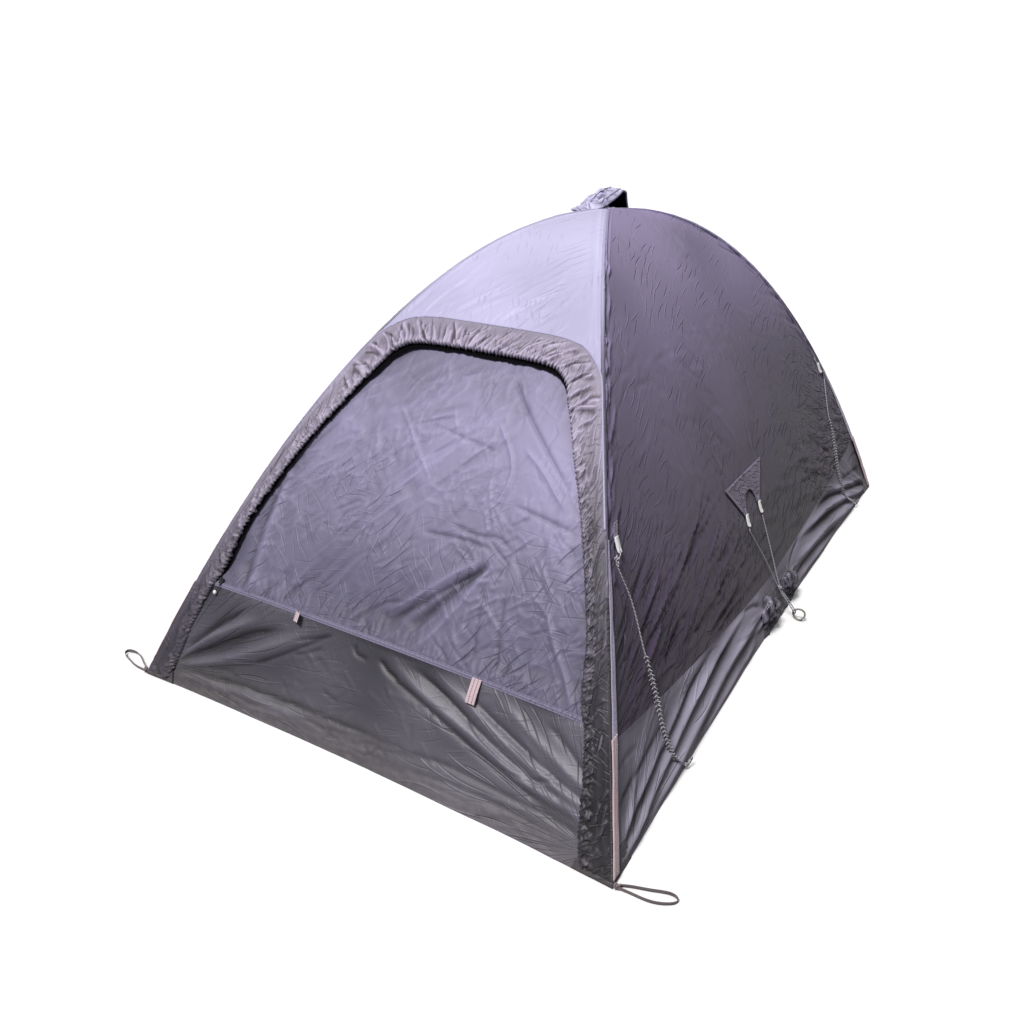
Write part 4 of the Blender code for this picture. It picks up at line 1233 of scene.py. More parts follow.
class TENT_OT_guy_cords(bpy.types.Operator):
    """Slack guy cords at the four corners, with their chained lower halves, knots and end loops"""
    bl_idname = "tent.guy_cords"
    bl_label = "Guy Cords"

    def execute(self, context):
        for corner, (x_sign, y_sign) in CORNERS.items():
            path = guy_path(corner)
            line = add_tube(f"guy_line_{corner}", path, CORD_RADIUS, "Guy Cord", "cord", f"guy_cord_{corner}",
                            sides=9, ribs=strands)
            start, stop = (0.42, 0.93) if y_sign < 0 else (0.3, 0.93)
            chained = path[int(len(path) * start):int(len(path) * stop)]
            chained_strands = [chain_strand(chained + (x_sign * 0.0012, 0.0, 0.0004), turned)
                               for turned in (0, np.pi)]
            chain = add_joined(f"guy_chain_{corner}", chained_strands, "Guy Cord", "cord")
            line.data.materials.append(finish("Shaded Cord"))
            for face in line.data.polygons:
                face.material_index = int(chained[-1][2] < face.center.z < chained[0][2])
            end, turn = path[-1], np.linspace(0, 2 * np.pi, 49)
            far = 0.018 * (1 - np.cos(turn)) / 2
            loop_path = columns(end[0] + x_sign * (0.003 + 0.25 * far), end[1] + far,
                                end[2] + 0.55 * far + 0.006 * np.sin(turn))
            loop = add_tube(f"guy_loop_{corner}", loop_path, 0.0013, "Guy Cord", "cord", sides=8, closed=True,
                            ribs=strands)
            knots = [knot_mesh(end + (0.0, 0.0, 0.0022), path[-1] - path[-4], 0.008, 0.0012),
                     knot_mesh(path[6], path[8] - path[4], 0.0085, 0.0013)]
            knot = add_joined(f"guy_knots_{corner}", knots, "Guy Cord", "cord")
        return {"FINISHED"}


class TENT_OT_side_guys(bpy.types.Operator):
    """Double cords at the middle of the long sides, from their locks to the loop at the peg tab"""
    bl_idname = "tent.side_guys"
    bl_label = "Side Guys"

    def execute(self, context):
        ring_z = RING_RADIUS + RING_WIRE + GAP
        inside = RING_PLACE - RING_RADIUS + RING_WIRE + CORD_RADIUS + GAP
        top = float(share_at(SIDE_LOCK_HEIGHTS[0])) - SIDE_CORD_START
        join, strand = np.array(SIDE_JOIN), RING_WIRE + CORD_RADIUS + STRAND_GAP

        def down(sign):
            y = SIDE_PATCH_SHIFT + sign * SIDE_LEG
            start, below = (side_point("right", y / ridge(share)[1], share, LOCK_MIDDLE)
                            for share in (top, top - CORD_STRAIGHT))
            beside = join + (0.0, sign * strand, 0.0)
            over = np.array([inside, sign * strand, ring_z + 0.004])
            return [start, below, (start + beside) / 2, beside, beside + (over - beside) * SIDE_CORD_SPAN, over]
        places = down(-1) + [np.array([inside, 0.0, ring_z - 0.001])] + down(1)[::-1]
        for side, x_sign in SIDE_SIGNS.items():
            add_tube(f"side_line_{side}", smooth_path([point * (x_sign, 1, 1) for point in places], 320),
                     CORD_RADIUS, "Guy Cord", "cord", f"side_guy_cord_{side}", sides=9, ribs=strands)
            add_joined(f"side_knot_{side}", [knot_mesh(join * (x_sign, 1, 1), (0, 0, 1), 0.011, 0.0015)],
                       "Guy Cord", "cord")
            angle = np.linspace(0, 2 * np.pi, 97)
            loop = columns(
                x_sign * (RING_PLACE + RING_RADIUS * np.cos(angle)), 0.003 * np.sin(2 * angle + 0.5),
                ring_z + RING_RADIUS * np.sin(angle) * (1 - 0.06 * np.cos(angle)))
            add_tube(f"side_loop_{side}", loop, RING_WIRE, "Loop Cord", "alloy", f"side_ring_{side}", sides=10,
                     closed=True, ribs=lambda turn, along: strands(turn, along, 0.01, 0.1))
        return {"FINISHED"}


class TENT_OT_tub(bpy.types.Operator):
    """The floor and the coated walls that turn up from it, with their long tension folds"""
    bl_idname = "tent.tub"
    bl_label = "Tub"

    def execute(self, context):
        mesh, across, up = grid_mesh("ground_sheet", 40, 70)
        along = 2 * up - 1
        x = across * (WIDTH / 2 - 0.001 - BASE_BOW * (1 - along ** 2))
        y = along * (LENGTH / 2 - 0.001 - BASE_BOW * (1 - across ** 2))
        area = lay_out(mesh, columns(x, y, 0.0012 + 0.001 * crumple(x, y, 0.16, 5)), (x, y))
        floor = add_piece("ground_sheet", mesh, "Tub Coated Nylon", "tub_fabric", "floor")
        for side, seed in (("front", 11), ("back", 23), ("right", 37), ("left", 53)):
            # shade paints light on the ends towards +X and shade on the long sides towards the foot end
            size, relief, looks, shade = (
                (330, 60), tub_end_relief(seed), "Tub Coated Nylon",
                lambda places: 0.005 * fade_in(places[:, 0] - 0.05, 0.35) - 0.001,
            ) if is_end(side) else (
                (460, 36), tub_side_relief(side, seed), "Tub Side Painted Sheen Nylon",
                lambda places: -0.002 * fade_in(places[:, 1], 0.4),
            )
            add_sheet(f"tub_{side}", side, size, band(0.0, lambda u: tub_seam(side, u)), relief,
                      (looks, "tub_fabric"), f"{side}_tub_wall", shade)
        return {"FINISHED"}


class TENT_OT_walls(bpy.types.Operator):
    """The long sides, the foot end and the pale panel above the door"""
    bl_idname = "tent.walls"
    bl_label = "Walls"

    def execute(self, context):
        for side, seed in (("right", 101), ("left", 151)):
            # The walls' shade paints them darker towards the foot end and below the top
            add_sheet(f"wall_{side}", side, (340, 170), band(lambda u: tub_seam(side, u), HEIGHT, 1.25),
                      wall_relief(side, seed), ("Wall Nylon", "wall_fabric"), f"{side}_wall",
                      lambda places: -0.0034 * fade_in(places[:, 1] + 0.35, 0.75) * fade_in(0.85 - places[:, 2], 0.3))
        canopy = ("Canopy Nylon", "canopy_fabric")
        add_sheet("wall_foot_end", "back", (200, 150), band(TUB_END_HEIGHT, HEIGHT, 1.1), back_relief(211),
                  canopy, "back_wall")
        add_sheet("panel_above_door", "front", (170, 100), band(lambda u: 0.768 - 0.036 * np.abs(u) ** 5, HEIGHT),
                  canopy_relief("front", 251), canopy, "front_wall")
        return {"FINISHED"}


def door_half_width(height):
    return np.interp(height, DOOR_EDGE_SIDE[:, 1], DOOR_EDGE_SIDE[:, 0])


def door_limits(across, up):
    """The door runs a little way behind the cuff's elastic edge on both sides."""
    height = TUB_END_HEIGHT + (0.772 - TUB_END_HEIGHT) * up
    share = share_at(height)
    return across * np.minimum(0.985, (door_half_width(height) + 0.03) / ridge(share)[0]), share


def door_shade(places):
    """Makes up for the depth at which the door lies, and paints light onto its upper right."""
    x, _, z = places.T
    return 0.0112 * fade_in(z - TUB_END_HEIGHT, 0.062) + 0.0038 * (fade_in(x - 0.02, 0.25) * fade_in(z - 0.34, 0.2))


class TENT_OT_door(bpy.types.Operator):
    """The crinkled door and the puckered seam under it"""
    bl_idname = "tent.door"
    bl_label = "Door"

    def execute(self, context):
        add_sheet("door", "front", (310, 190), door_limits, door_relief(301), ("Door Nylon", "wall_fabric"),
                  "door_panel", door_shade)
        heights = TUB_END_HEIGHT - 0.004, TUB_END_HEIGHT + 0.006
        low, high = share_at(heights)
        strip_limits = band(*heights, u_at=lambda across, up, share: across * 0.47 / ridge(share)[0])

        def strip_relief(x, y, u, share):
            rise = (share - low) / (high - low)
            pucker = np.sin(x * 2 * np.pi / 0.011 + 2.5 * soft_noise(x * 30, 0 * x, 331))
            rows = sum(np.exp(-((rise - row) / 0.1) ** 2) for row in (0.3, 0.75))
            crown = np.sin(np.pi * np.clip(rise, 0, 1)) ** 0.4
            return 0.0008 + crown * (0.001 + 0.0006 * pucker) - 0.0008 * rows
        add_piece("door_seam_strip", cloth("door_seam_strip", "front", 560, 14, strip_limits, strip_relief)[0],
                  "Seam Fabric", "cuff_fabric")
        return {"FINISHED"}


def cuff_edges(travel):
    """Outer and inner edge of the cuff, as x and height, for travel 0 to 1 up one side and down the other,
    and how far along the cuff's middle that is."""
    outer = np.array([(float(ridge(share_at(z))[0]) - 0.003 if x is None else x, z) for (x, z), _ in CUFF_PLACES])
    middle = (outer + DOOR_EDGE) / 2
    length = runs_of(middle)[-1]
    places = (1 - np.abs(2 * travel - 1)) * length
    sign = np.where(travel < 0.5, -1.0, 1.0)
    runs = runs_of(smooth_path([(*place, 0.0) for place in middle], 400))
    share = places / length * runs[-1]
    edges = []
    for edge in (outer, DOOR_EDGE):
        fine = smooth_path([(*place, 0.0) for place in edge], 400)
        edges.append((sign * np.interp(share, runs, fine[:, 0]), np.interp(share, runs, fine[:, 1])))
    return edges, np.where(travel < 0.5, places, 2 * length - places)


def cuff_creases(middle):
    """The slanting creases over the door, along and down the cuff; middle is its highest point."""
    draw = np.random.default_rng(421)
    lines = []
    for start in np.arange(middle - 0.36, middle + 0.36, 0.0115):
        from_middle = (start - middle) / 0.05
        lean = 50 if start > middle else 30
        angle = 90 + lean * math.tanh(from_middle) * (0.6 if start > middle + 0.26 else 1) + draw.normal(0, 9)
        if abs(from_middle) < 0.8:
            angle = draw.choice((52.0, 128.0)) + draw.normal(0, 8)
        turn, length = math.radians(angle), draw.uniform(0.034, 0.085)
        x, y = start + draw.uniform(-0.005, 0.005), draw.uniform(0.002, 0.02)
        bend = draw.uniform(-0.004, 0.004)
        height, width = draw.uniform(0.005, 0.0085), draw.uniform(0.0018, 0.0027)
        beside = draw.choice((-1, 1)) * 2.2 * width
        for aside, rise, wide in ((0.0, -height, width), (beside, 0.62 * height, 1.9 * width)):
            places = crease(x + aside, y, turn, length, bend)
            places[2] = (places[2][0] - 0.5 * aside, places[2][1])
            lines.append((places, rise, wide))
    for sign in (-1, 1):
        for aside, height in ((0.0, -0.005), (0.0035, 0.0035)):
            lines.append(([(middle + sign * (across + aside), down)
                           for across, down in ((0.236, 0.054), (0.248, 0.03), (0.266, 0.004))], height, 0.0015))
    for number in range(230):
        over = number < 50
        x = middle + draw.uniform(-0.36, 0.36) if over else middle + draw.choice((-1, 1)) * draw.uniform(0.34, middle)
        lean = draw.uniform(25, 155) if over else (draw.uniform(12, 60) if x > middle else draw.uniform(120, 168))
        small = over or draw.uniform() < 0.5
        y, length = draw.uniform(0.002, 0.046), draw.uniform(0.008, 0.02) if small else draw.uniform(0.025, 0.06)
        lines.append((crease(x, y, math.radians(lean), length, 0.0, 0.001),
                      draw.uniform(0.0018, 0.0034 if small else 0.0046) * draw.choice((-1.0, 1.0)),
                      0.0022 if small else 0.003))
    return lines


class TENT_OT_cuff(bpy.types.Operator):
    """The gathered band round the door, with its elastic roll, frill and outer piping"""
    bl_idname = "tent.cuff"
    bl_label = "Cuff"

    def execute(self, context):
        pitch = context.scene.tent_form.elastic_pitch
        depth = context.scene.tent_form.fold_depth
        mesh, across, up = grid_mesh("cuff", 980, 36)
        travel = (across + 1) / 2
        ((outer_x, outer_z), (inner_x, inner_z)), along = cuff_edges(travel)
        reach = up * 1.16
        flat_share, past = np.minimum(reach, 1.0), np.clip((reach - 1.0) / 0.16, 0, 1)
        size = np.hypot(inner_x - outer_x, inner_z - outer_z)
        down = reach * size
        length = float(along.max())
        overhead = fade_in(0.15 - np.abs(travel - 0.5), 0.05)
        scallop = np.abs(np.sin(np.pi * (along / pitch + 0.6 * soft_noise(along * 40, reach, 401)))) ** 0.8
        edge = fade_in(reach - 0.72, 0.26)
        inner_strip, outer_strip = fade_in(flat_share - 0.58, 0.14), 1 - fade_in(flat_share - 0.2, 0.12)
        facets, beads = crumple(along, down, 0.0125, 411), wrinkles(along, down, 0.011, 412, 70, 1.4)
        smooth = wrinkles(along, down, 0.04, 413, 8, 4.0)
        creased = folds(along, down, cuff_creases(length / 2))
        side_lift = inner_strip * (0.0044 * facets + 0.0044 * beads) + (1 - inner_strip) * 0.002 * smooth + creased
        top_lift = creased + 0.001 * crumple(along, down, 0.026, 414)
        lift = overhead * top_lift * fade_in(flat_share, 0.1) + (1 - overhead) * side_lift * fade_in(flat_share, 0.06)
        lift += 0.003 * (scallop - 0.5) * edge * (0.2 + 0.8 * overhead)
        tuck = past * np.pi * 0.6
        base = 0.003 + (0.0035 + 0.0045 * overhead) * flat_share ** 1.5
        layer = np.maximum(base + depth * lift, 0.0024) - (0.0045 + 0.003 * overhead) * (1 - np.cos(tuck))
        curl = 0.003 * np.sin(tuck) + 0.004 * (scallop - 0.5) * edge
        x, z = (outer + (inner - outer) * flat_share + curl * ((inner - outer) / size)
                for outer, inner in ((outer_x, inner_x), (outer_z, inner_z)))
        z = np.maximum(0.004, z)
        # Painted light and shade: lift paints the folds, sides darkens the right side low down and pales the outer
        # strip, frill paints a highlight on the edge's scallops and shade where it tucks under
        right = fade_in(travel - 0.5, 0.1)
        sides = (1 - overhead) * (0.0022 * outer_strip * (1 - 0.5 * right) - 0.001 * (1 - inner_strip))
        sides -= right * (1 - overhead) * (0.0044 * fade_in(0.68 - z, 0.24) - 0.0004)
        frill = 0.0045 * (scallop - 0.35) * edge * (0.3 + 0.7 * overhead) - 0.008 * np.clip(past * 1.8 - 0.8, 0, 1)
        lay_out(mesh, front_point(x, z, layer), (along, down), shade=lift * 1.3 + frill + sides,
                inside=BEHIND_DOOR)
        cuff = add_piece("cuff", mesh, "Cuff Nylon", "cuff_fabric", "door_cuff")

        ((outer_x, outer_z), _), _ = cuff_edges(np.linspace(0.245, 0.755, 500))
        add_tube("cuff_piping", smooth_path(front_point(outer_x, outer_z, 0.0026)[::6], 420), 0.002,
                 "Canopy Nylon", "cuff_fabric", sides=8,
                 ribs=lambda turn, run: 1 + 0.1 * np.sin(run * 900) * np.sin(run * 137))

        # A black strip behind the elastic edge, painted shadow in the gap between the cuff and the door
        mesh, across, up = grid_mesh("cuff_gap_shadow", 900, 6)
        ((outer_x, outer_z), (inner_x, inner_z)), along = cuff_edges(0.05 + 0.45 * (across + 1))
        size = np.hypot(inner_x - outer_x, inner_z - outer_z)
        overhead = fade_in(0.165 - np.abs(0.45 * across + 0.015), 0.07)
        ragged = 1 + 0.1 * soft_noise(along * 45, 0 * along, 441) + 0.08 * soft_noise(along * 160, 0 * along, 442)
        reach = up * (0.0045 + 0.007 * overhead) * ragged - 0.004
        x = inner_x + reach * (inner_x - outer_x) / size
        z = np.maximum(0.004, inner_z + reach * (inner_z - outer_z) / size)
        lay_out(mesh, front_point(x, z, 0.0012 - 0.007 * up), (along, reach), inside=BEHIND_DOOR)
        add_piece("cuff_gap_shadow", mesh, "Painted Shadow Black", "cuff_fabric")
        return {"FINISHED"}


HOOD_BACK_X = -0.118
HOOD_CREST_X = -0.052
HOOD_BRIM_X = -0.018
HOOD_CREST_SHARE = 0.7  # where the crest lies between the hood's back and its brim
# Height of the hood's crest above the ground for places along Y
HOOD_CREST = np.array([
    (-0.012, 0.99), (0.000, 1.01), (0.028, 1.022), (0.055, 1.0325), (0.095, 1.0395), (0.127, 1.0425),
    (0.142, 1.036), (0.156, 1.014), (0.168, 0.985),
])


def roof_height(x, y):
    """Height of the fabric above places on the ground, near the ridge crossing."""
    half_width, half_length, height = ridge(np.linspace(0, 1, 4001))
    return np.minimum(np.interp(np.abs(x), half_width[::-1], height[::-1]),
                      np.interp(np.abs(y), half_length[::-1], height[::-1]))


class TENT_OT_hood(bpy.types.Operator):
    """The vent's hood, open towards the right, with its stiffened brim, and black that paints the shade inside it"""
    bl_idname = "tent.hood"
    bl_label = "Hood"

    def execute(self, context):
        mesh, across, up = grid_mesh("hood", 70, 110)
        forward, run = (across + 1) / 2, -0.012 + 0.18 * up
        y = 0.075 + (run - 0.075) * (0.5 + 0.5 * np.clip(forward * 1.6, 0, 1) ** 0.8)
        crest = np.interp(run, HOOD_CREST[:, 0], HOOD_CREST[:, 1])
        brim = HOOD_BRIM_X + 0.004 * np.sin(np.pi * up)
        rise, fall = forward / HOOD_CREST_SHARE, (forward - HOOD_CREST_SHARE) / (1 - HOOD_CREST_SHARE)
        x = np.where(rise < 1, HOOD_BACK_X + (HOOD_CREST_X - HOOD_BACK_X) * rise,
                     HOOD_CREST_X + (brim - HOOD_CREST_X) * fall)
        roof = roof_height(x, y)
        climb_up = np.sin(np.pi / 2 * np.clip(rise, 0, 1)) ** 0.85
        low_front = np.sin(np.pi * np.clip(up / 0.8, 0, 1))
        droop = (0.006 + 0.011 * low_front) * np.clip(fall, 0, 1) ** 1.5
        z = roof + np.maximum(0.0006, (crest - roof) * climb_up - droop * (crest > roof))
        lines = scattered((-0.09, 0.05), (0.0, 0.16), (-70, 70), (0.02, 0.07), 40, 0.004, 0.0034, 501)
        lines += fan((0.0, 0.01), (20, 110), (0.03, 0.09), 12, 0.0055, 0.0042, 503, start=0.004)
        lines += millimetres([((24, 20, 20, 45, 30, 70), -9, 4), ((0, 30, 12, 60, 14, 100), -5, 3.6)])
        lift = folds(x + 0.06, y, lines) * fade_in(np.minimum(up, 1 - up), 0.08) * fade_in(forward, 0.12)
        lay_out(mesh, columns(x, y, z), (x, y), lift, inside=UNDER_CROWN)
        hood = add_piece("hood", mesh, "Hood Nylon", "canopy_fabric", "vent_hood")
        # Its inside and rim are painted black as shade
        mesh.materials.append(finish("Painted Shadow Black"))
        thicken(hood, 0.0014).material_offset = 1

        def seam_path(chosen, trim, rise, count):
            places = points_of(mesh)[chosen][np.argsort(up[chosen])]
            return smooth_path((places[trim:len(places) - trim] + (0.0, 0.0, rise))[::5], count)
        add_tube("hood_brim", seam_path(np.abs(across - 1) < 1e-6, 0, 0.0004, 160), 0.0022, "Piping",
                 "canopy_fabric", sides=9, first_side=(1.0, 0.0, 0.2))
        seams = [tube_mesh("hood_seam", seam_path(np.abs(forward - place) < 0.5 / 70, trim, 0.0006, 120), 0.0013,
                           sides=8, first_side=(1.0, 0.0, 0.2)) for place, trim in ((0.7, 6), (0.9, 22), (0.24, 16))]
        add_joined("hood_piping", seams, "Piping", "canopy_fabric")
        crumpled = [bunch_mesh(place, size, lean, 520 + number)
                    for number, (place, size, lean) in enumerate((
                        ((-0.062, 0.000, 0.996), (0.026, 0.02, 0.009), 0.2),
                        ((-0.036, 0.014, 1.000), (0.016, 0.016, 0.008), 0.5),
                        ((-0.088, 0.01, 0.99), (0.02, 0.016, 0.008), -0.2)))]
        add_joined("hood_crumples", crumpled, "Hood Nylon", "canopy_fabric")
        # A black sheet under the hood's brim: painted shade where the vent opens
        opening, across, up = grid_mesh("vent_shadow_sheet", 16, 30)
        x, y = HOOD_BRIM_X - 0.022 - 0.03 * (across + 1) / 2, 0.004 + 0.148 * up
        lay_out(opening, columns(x, y, roof_height(x, y) + 0.0012), (x, y), inside=UNDER_CROWN)
        add_piece("vent_shadow_sheet", opening, "Painted Shadow Black", "canopy_fabric")
        return {"FINISHED"}


def corner_band(corner, inset, width, heights, taper=0.0):
    """Limits of a strip that runs up a long side, inset from the ridge and narrower towards its top."""
    def u_at(across, up, share):
        narrow = (1 - taper * up ** 2) * (across + 1) / 2
        return long_side(corner)[1] * (1 - (inset * (1 - 0.5 * taper * up) + width * narrow) / ridge(share)[1])
    return band(*heights, u_at=u_at)


def strip(name, side, size, limits, width, relief, layer, looks, replaces=None, thickness=0.0012):
    """A narrow piece of webbing or cloth sewn on a side, with its own places across and along it."""
    mesh, across, up = grid_mesh(name, *size)
    u, share = limits(across, up)
    along = climb(side, share)
    lay_out(mesh, side_point(side, u, share, layer), (across * width / 2, along), relief(across, along))
    thicken(add_piece(name, mesh, *looks, replaces), thickness)


class TENT_OT_ridges(bpy.types.Operator):
    """The fabric rolled over the poles, and the straps and webbing sewn beside the ridges"""
    bl_idname = "tent.ridges"
    bl_label = "Ridges"

    def execute(self, context):
        roll = context.scene.tent_form.ridge_roll
        thickness = context.scene.tent_form.webbing_thickness
        for number, (corner, (x_sign, y_sign)) in enumerate(CORNERS.items()):
            half_width, half_length, height = ridge(np.linspace(0.004, 0.992, 260), -0.0028)
            path = smooth_path(columns(x_sign * half_width, y_sign * half_length, height)[::5], 300)

            def ribs(turn, along):
                waves = (soft_noise(along * 60, turn * 0.8, 600 + number)
                         + 0.6 * soft_noise(along * 150, turn * 1.5, 609 + number))
                return 1 + 0.09 * waves

            def relief(across, along):
                return 0.0008 * soft_noise(along * 30, across, 640 + number) + 0.0005 * (1 - np.abs(across) ** 6)
            foot = int(len(path) * RIDGE_FOOT_SHARE)
            add_tube(f"ridge_fold_{corner}", path[foot:], roll, "Ridge Fabric", "wall_fabric", sides=12, ribs=ribs)
            add_tube(f"ridge_foot_{corner}", path[:foot + 1], roll, "Patch Nylon", "patch_fabric", sides=12,
                     ribs=ribs)
            side, _ = long_side(corner)
            for name, inset, share, heights, taper, layer, looks, replaces in (
                    ("flat_strap", 0.009, 0.72, (0.2, STRAP_TOP), 0.75, 0.003, "Seam Tape", f"ridge_strap_{corner}"),
                    ("ridge_webbing", 0.004, 0.82, (0.012, 0.214), 0.0, 0.0048, "Corner Webbing", None)):
                width = STRAP_WIDTH * share
                strip(f"{name}_{corner}", side, (6, 60), corner_band(corner, inset, width, heights, taper), width,
                      relief, layer, (looks, "webbing"), replaces, thickness)
        return {"FINISHED"}


class TENT_OT_patches(bpy.types.Operator):
    """Reinforcing patches round the corners and at the side guys, with their stitching"""
    bl_idname = "tent.patches"
    bl_label = "Patches"

    def execute(self, context):
        for number, (corner, (x_sign, y_sign)) in enumerate(CORNERS.items()):
            mesh, across, up = grid_mesh(f"corner_guard_{corner}", 44, 16)
            low, high = share_at(0.002), share_at(CORNER_PATCH_HEIGHT)
            share = low + (high - low) * up
            half_width, half_length, height = ridge(share, 0.0022)
            reach = CORNER_PATCH_REACH * np.abs(across) * (1 - 0.35 * up)
            x = half_width - np.where(across < 0, reach, 0.0)
            y = half_length - np.where(across > 0, reach, 0.0)
            bow = BASE_BOW * (1 - share) ** 4
            y = y - np.where(across < 0, bow * (1 - (x / half_width) ** 2), 0.0)
            x = x - np.where(across < 0, 0.0, bow * (1 - (y / half_length) ** 2))
            flat_x, flat_y = across * CORNER_PATCH_REACH, climb("front", share)
            lines = scattered((-0.08, 0.06), (0.0, 0.04), (-30, 50), (0.02, 0.05), 14, 0.0016, 0.003, 700 + number)
            lift = folds(flat_x, flat_y, lines) + 0.0008 * crumple(flat_x, flat_y, 0.02, 710 + number)
            lay_out(mesh, columns(x_sign * x, y_sign * y, height), (flat_x, flat_y),
                    np.maximum(lift, -0.0006))
            thicken(add_piece(f"corner_guard_{corner}", mesh, "Patch Nylon", "patch_fabric",
                              f"corner_patch_{corner}"), 0.001)
        tab_limits = band(0.003, 0.1, u_at=lambda across, up, share: (
            SIDE_TAB_HALF * across * (1 - 0.25 * up) / ridge(share)[1]))
        for side, seed in (("right", 731), ("left", 741)):
            mesh, across, up = grid_mesh(f"side_patch_{side}", 70, 32)
            half = SIDE_PATCH_HALVES[0] + (SIDE_PATCH_HALVES[1] - SIDE_PATCH_HALVES[0]) * up
            arch = np.sqrt(np.maximum(0.0, 1 - (np.abs(across) * SIDE_PATCH_HALVES[0] / 0.04) ** 2))
            bottom = SIDE_PATCH_HEIGHTS[0] + 0.045 * arch
            share = share_at(bottom + (SIDE_PATCH_HEIGHTS[1] - bottom) * up)
            x_sign = SIDE_SIGNS[side]
            u = (across * half + x_sign * SIDE_PATCH_SHIFT) / ridge(share)[1]
            flat_x, flat_y = across * half, climb(side, share)
            lines = scattered((-0.12, 0.08), (0.34, 0.42), (-35, 15), (0.02, 0.07), 16, 0.0024, 0.0032, seed)
            lines += scattered((0.0, 0.1), (0.34, 0.41), (20, 80), (0.02, 0.06), 14, 0.0024, 0.0032, seed + 1)
            lines += fan((0.0, 0.375), (60, 120), (0.03, 0.06), 6, 0.0026, 0.003, seed + 3)
            lift = folds(flat_x, flat_y, lines) + 0.001 * soft_noise(flat_x * 30, flat_y * 30, seed + 2)
            margin = np.minimum((1 - np.abs(across)) * half * 0.75, (1 - up) * 0.075)
            hem = np.exp(-((margin - 0.0045) / 0.0022) ** 2)
            lay_out(mesh, side_point(side, u, share, 0.0046), (flat_x, flat_y),
                    lift * fade_in(margin, 0.01) + 0.0012 * hem, lift + 0.006 * hem)
            thicken(add_piece(f"side_patch_{side}", mesh, "Side Patch Nylon", "patch_fabric",
                              f"side_guy_patch_{side}"), 0.001)

            def tab_relief(across, along):
                creased = wrinkles(SIDE_TAB_HALF * across, along, 0.014, seed + 5, 118, 2.4)
                free = fade_in(1 - np.abs(across), 0.15) * fade_in(0.108 - along, 0.02)
                return 0.0008 + free * (0.003 + 0.006 * creased)
            strip(f"side_gather_{side}", side, (70, 24), tab_limits, 2 * SIDE_TAB_HALF, tab_relief, 0.0006,
                  ("Gathered Nylon", "patch_fabric"), f"side_peg_tab_{side}", 0.0008)
            bunches = [bunch_mesh((x_sign * (0.577 + out), y, z), (0.017, wide, tall), x_sign * lean,
                                  seed + 20 + number)
                       for number, (out, y, z, wide, tall, lean) in enumerate((
                           (-0.002, -0.108, 0.062, 0.034, 0.044, -0.5), (0.003, -0.082, 0.046, 0.028, 0.038, -0.7),
                           (-0.002, 0.08, 0.06, 0.032, 0.042, 0.5), (0.003, 0.11, 0.042, 0.036, 0.03, 0.9)))]
            add_joined(f"side_bunch_{side}", bunches, "Bunched Nylon", "patch_fabric")
        return {"FINISHED"}


def bunch_mesh(centre, size, lean, seed):
    """A handful of cloth crushed into flat facets; lean turns it about the outward direction."""
    ball = bmesh.new()
    bmesh.ops.create_icosphere(ball, subdivisions=4, radius=1.0)
    mesh = mesh_from(ball, "bunch", smooth=True)
    points = points_of(mesh)
    flat = points[:, 1:] * size[1:] + points[:, :1] * 0.01
    lift = 0.012 * crumple(flat[:, 0], flat[:, 1], 0.02, seed) - 0.011 * np.maximum(
        0.0, wrinkles(flat[:, 0], flat[:, 1], 0.024, seed + 3, 70, 2.2))
    x, y, z = (points * (np.asarray(size) + lift[:, None])).T
    placed = np.asarray(centre) + columns(x, y * math.cos(lean) - z * math.sin(lean),
                                            y * math.sin(lean) + z * math.cos(lean))
    placed[:, 2] = np.maximum(placed[:, 2], 0.001 + 0.001 * points[:, 1] ** 2)
    put_points(mesh, placed)
    add_pattern(mesh, flat)
    add_shade(mesh, lift)
    return mesh


def add_lock(name, axes, rise, replaces, looks="Lock Plastic", sideways=0.0, size=(0.014, 0.032, 0.006)):
    """A ladder lock: a moulded frame with two windows and a curved lip at its top. axes are its place on
    the cloth and its outward and upward directions there, and size its width, length and depth."""
    shell = bmesh.new()
    bmesh.ops.create_grid(shell, x_segments=5, y_segments=9, size=0.5)
    windows = [face for face in shell.faces
               if abs(face.calc_center_median().x) < 0.15 and -0.36 < face.calc_center_median().y < -0.22]
    bmesh.ops.delete(shell, geom=windows, context="FACES")
    for lifted in bmesh.ops.extrude_face_region(shell, geom=shell.faces[:])["geom"]:
        if isinstance(lifted, bmesh.types.BMVert):
            lifted.co.z += 1.0
    for vertex in shell.verts:
        arch = 1 - (2 * vertex.co.x) ** 2
        vertex.co.z = vertex.co.z * (0.55 + 0.25 * arch) + 0.2 * (2 * abs(vertex.co.y)) ** 4
        vertex.co.x *= 1 - 0.18 * (2 * vertex.co.y) ** 4
    bmesh.ops.recalc_face_normals(shell, faces=shell.faces[:])
    here, outward, upward = axes
    upward = Vector(upward + np.cross(upward, outward) * sideways).normalized()
    centre, outward = Vector(here + outward * rise), Vector(outward).normalized()
    turn = Matrix((upward.cross(outward), upward, outward)).transposed()
    for vertex in shell.verts:
        vertex.co = centre + turn @ Vector(part * scale for part, scale in zip(vertex.co, size))
    soften(add_piece(name, mesh_from(shell, name), looks, "plastic", replaces))


def local_axes(side, u, share):
    """The place, outward direction and upward direction of a point on a side."""
    here = side_point(side, u, share)
    upward = side_point(side, u, share + 0.002) - here
    across = side_point(side, u + 0.002, share) - here
    outward = np.cross(across, upward)
    return here, outward / np.linalg.norm(outward), upward / np.linalg.norm(upward)


def from_place(axes, steps):
    """Places given by how far outward, upward and sideways they are from a place on the cloth."""
    here, outward, upward = axes
    return [here + outward * out + upward * up + np.cross(upward, outward) * aside for out, up, aside in steps]


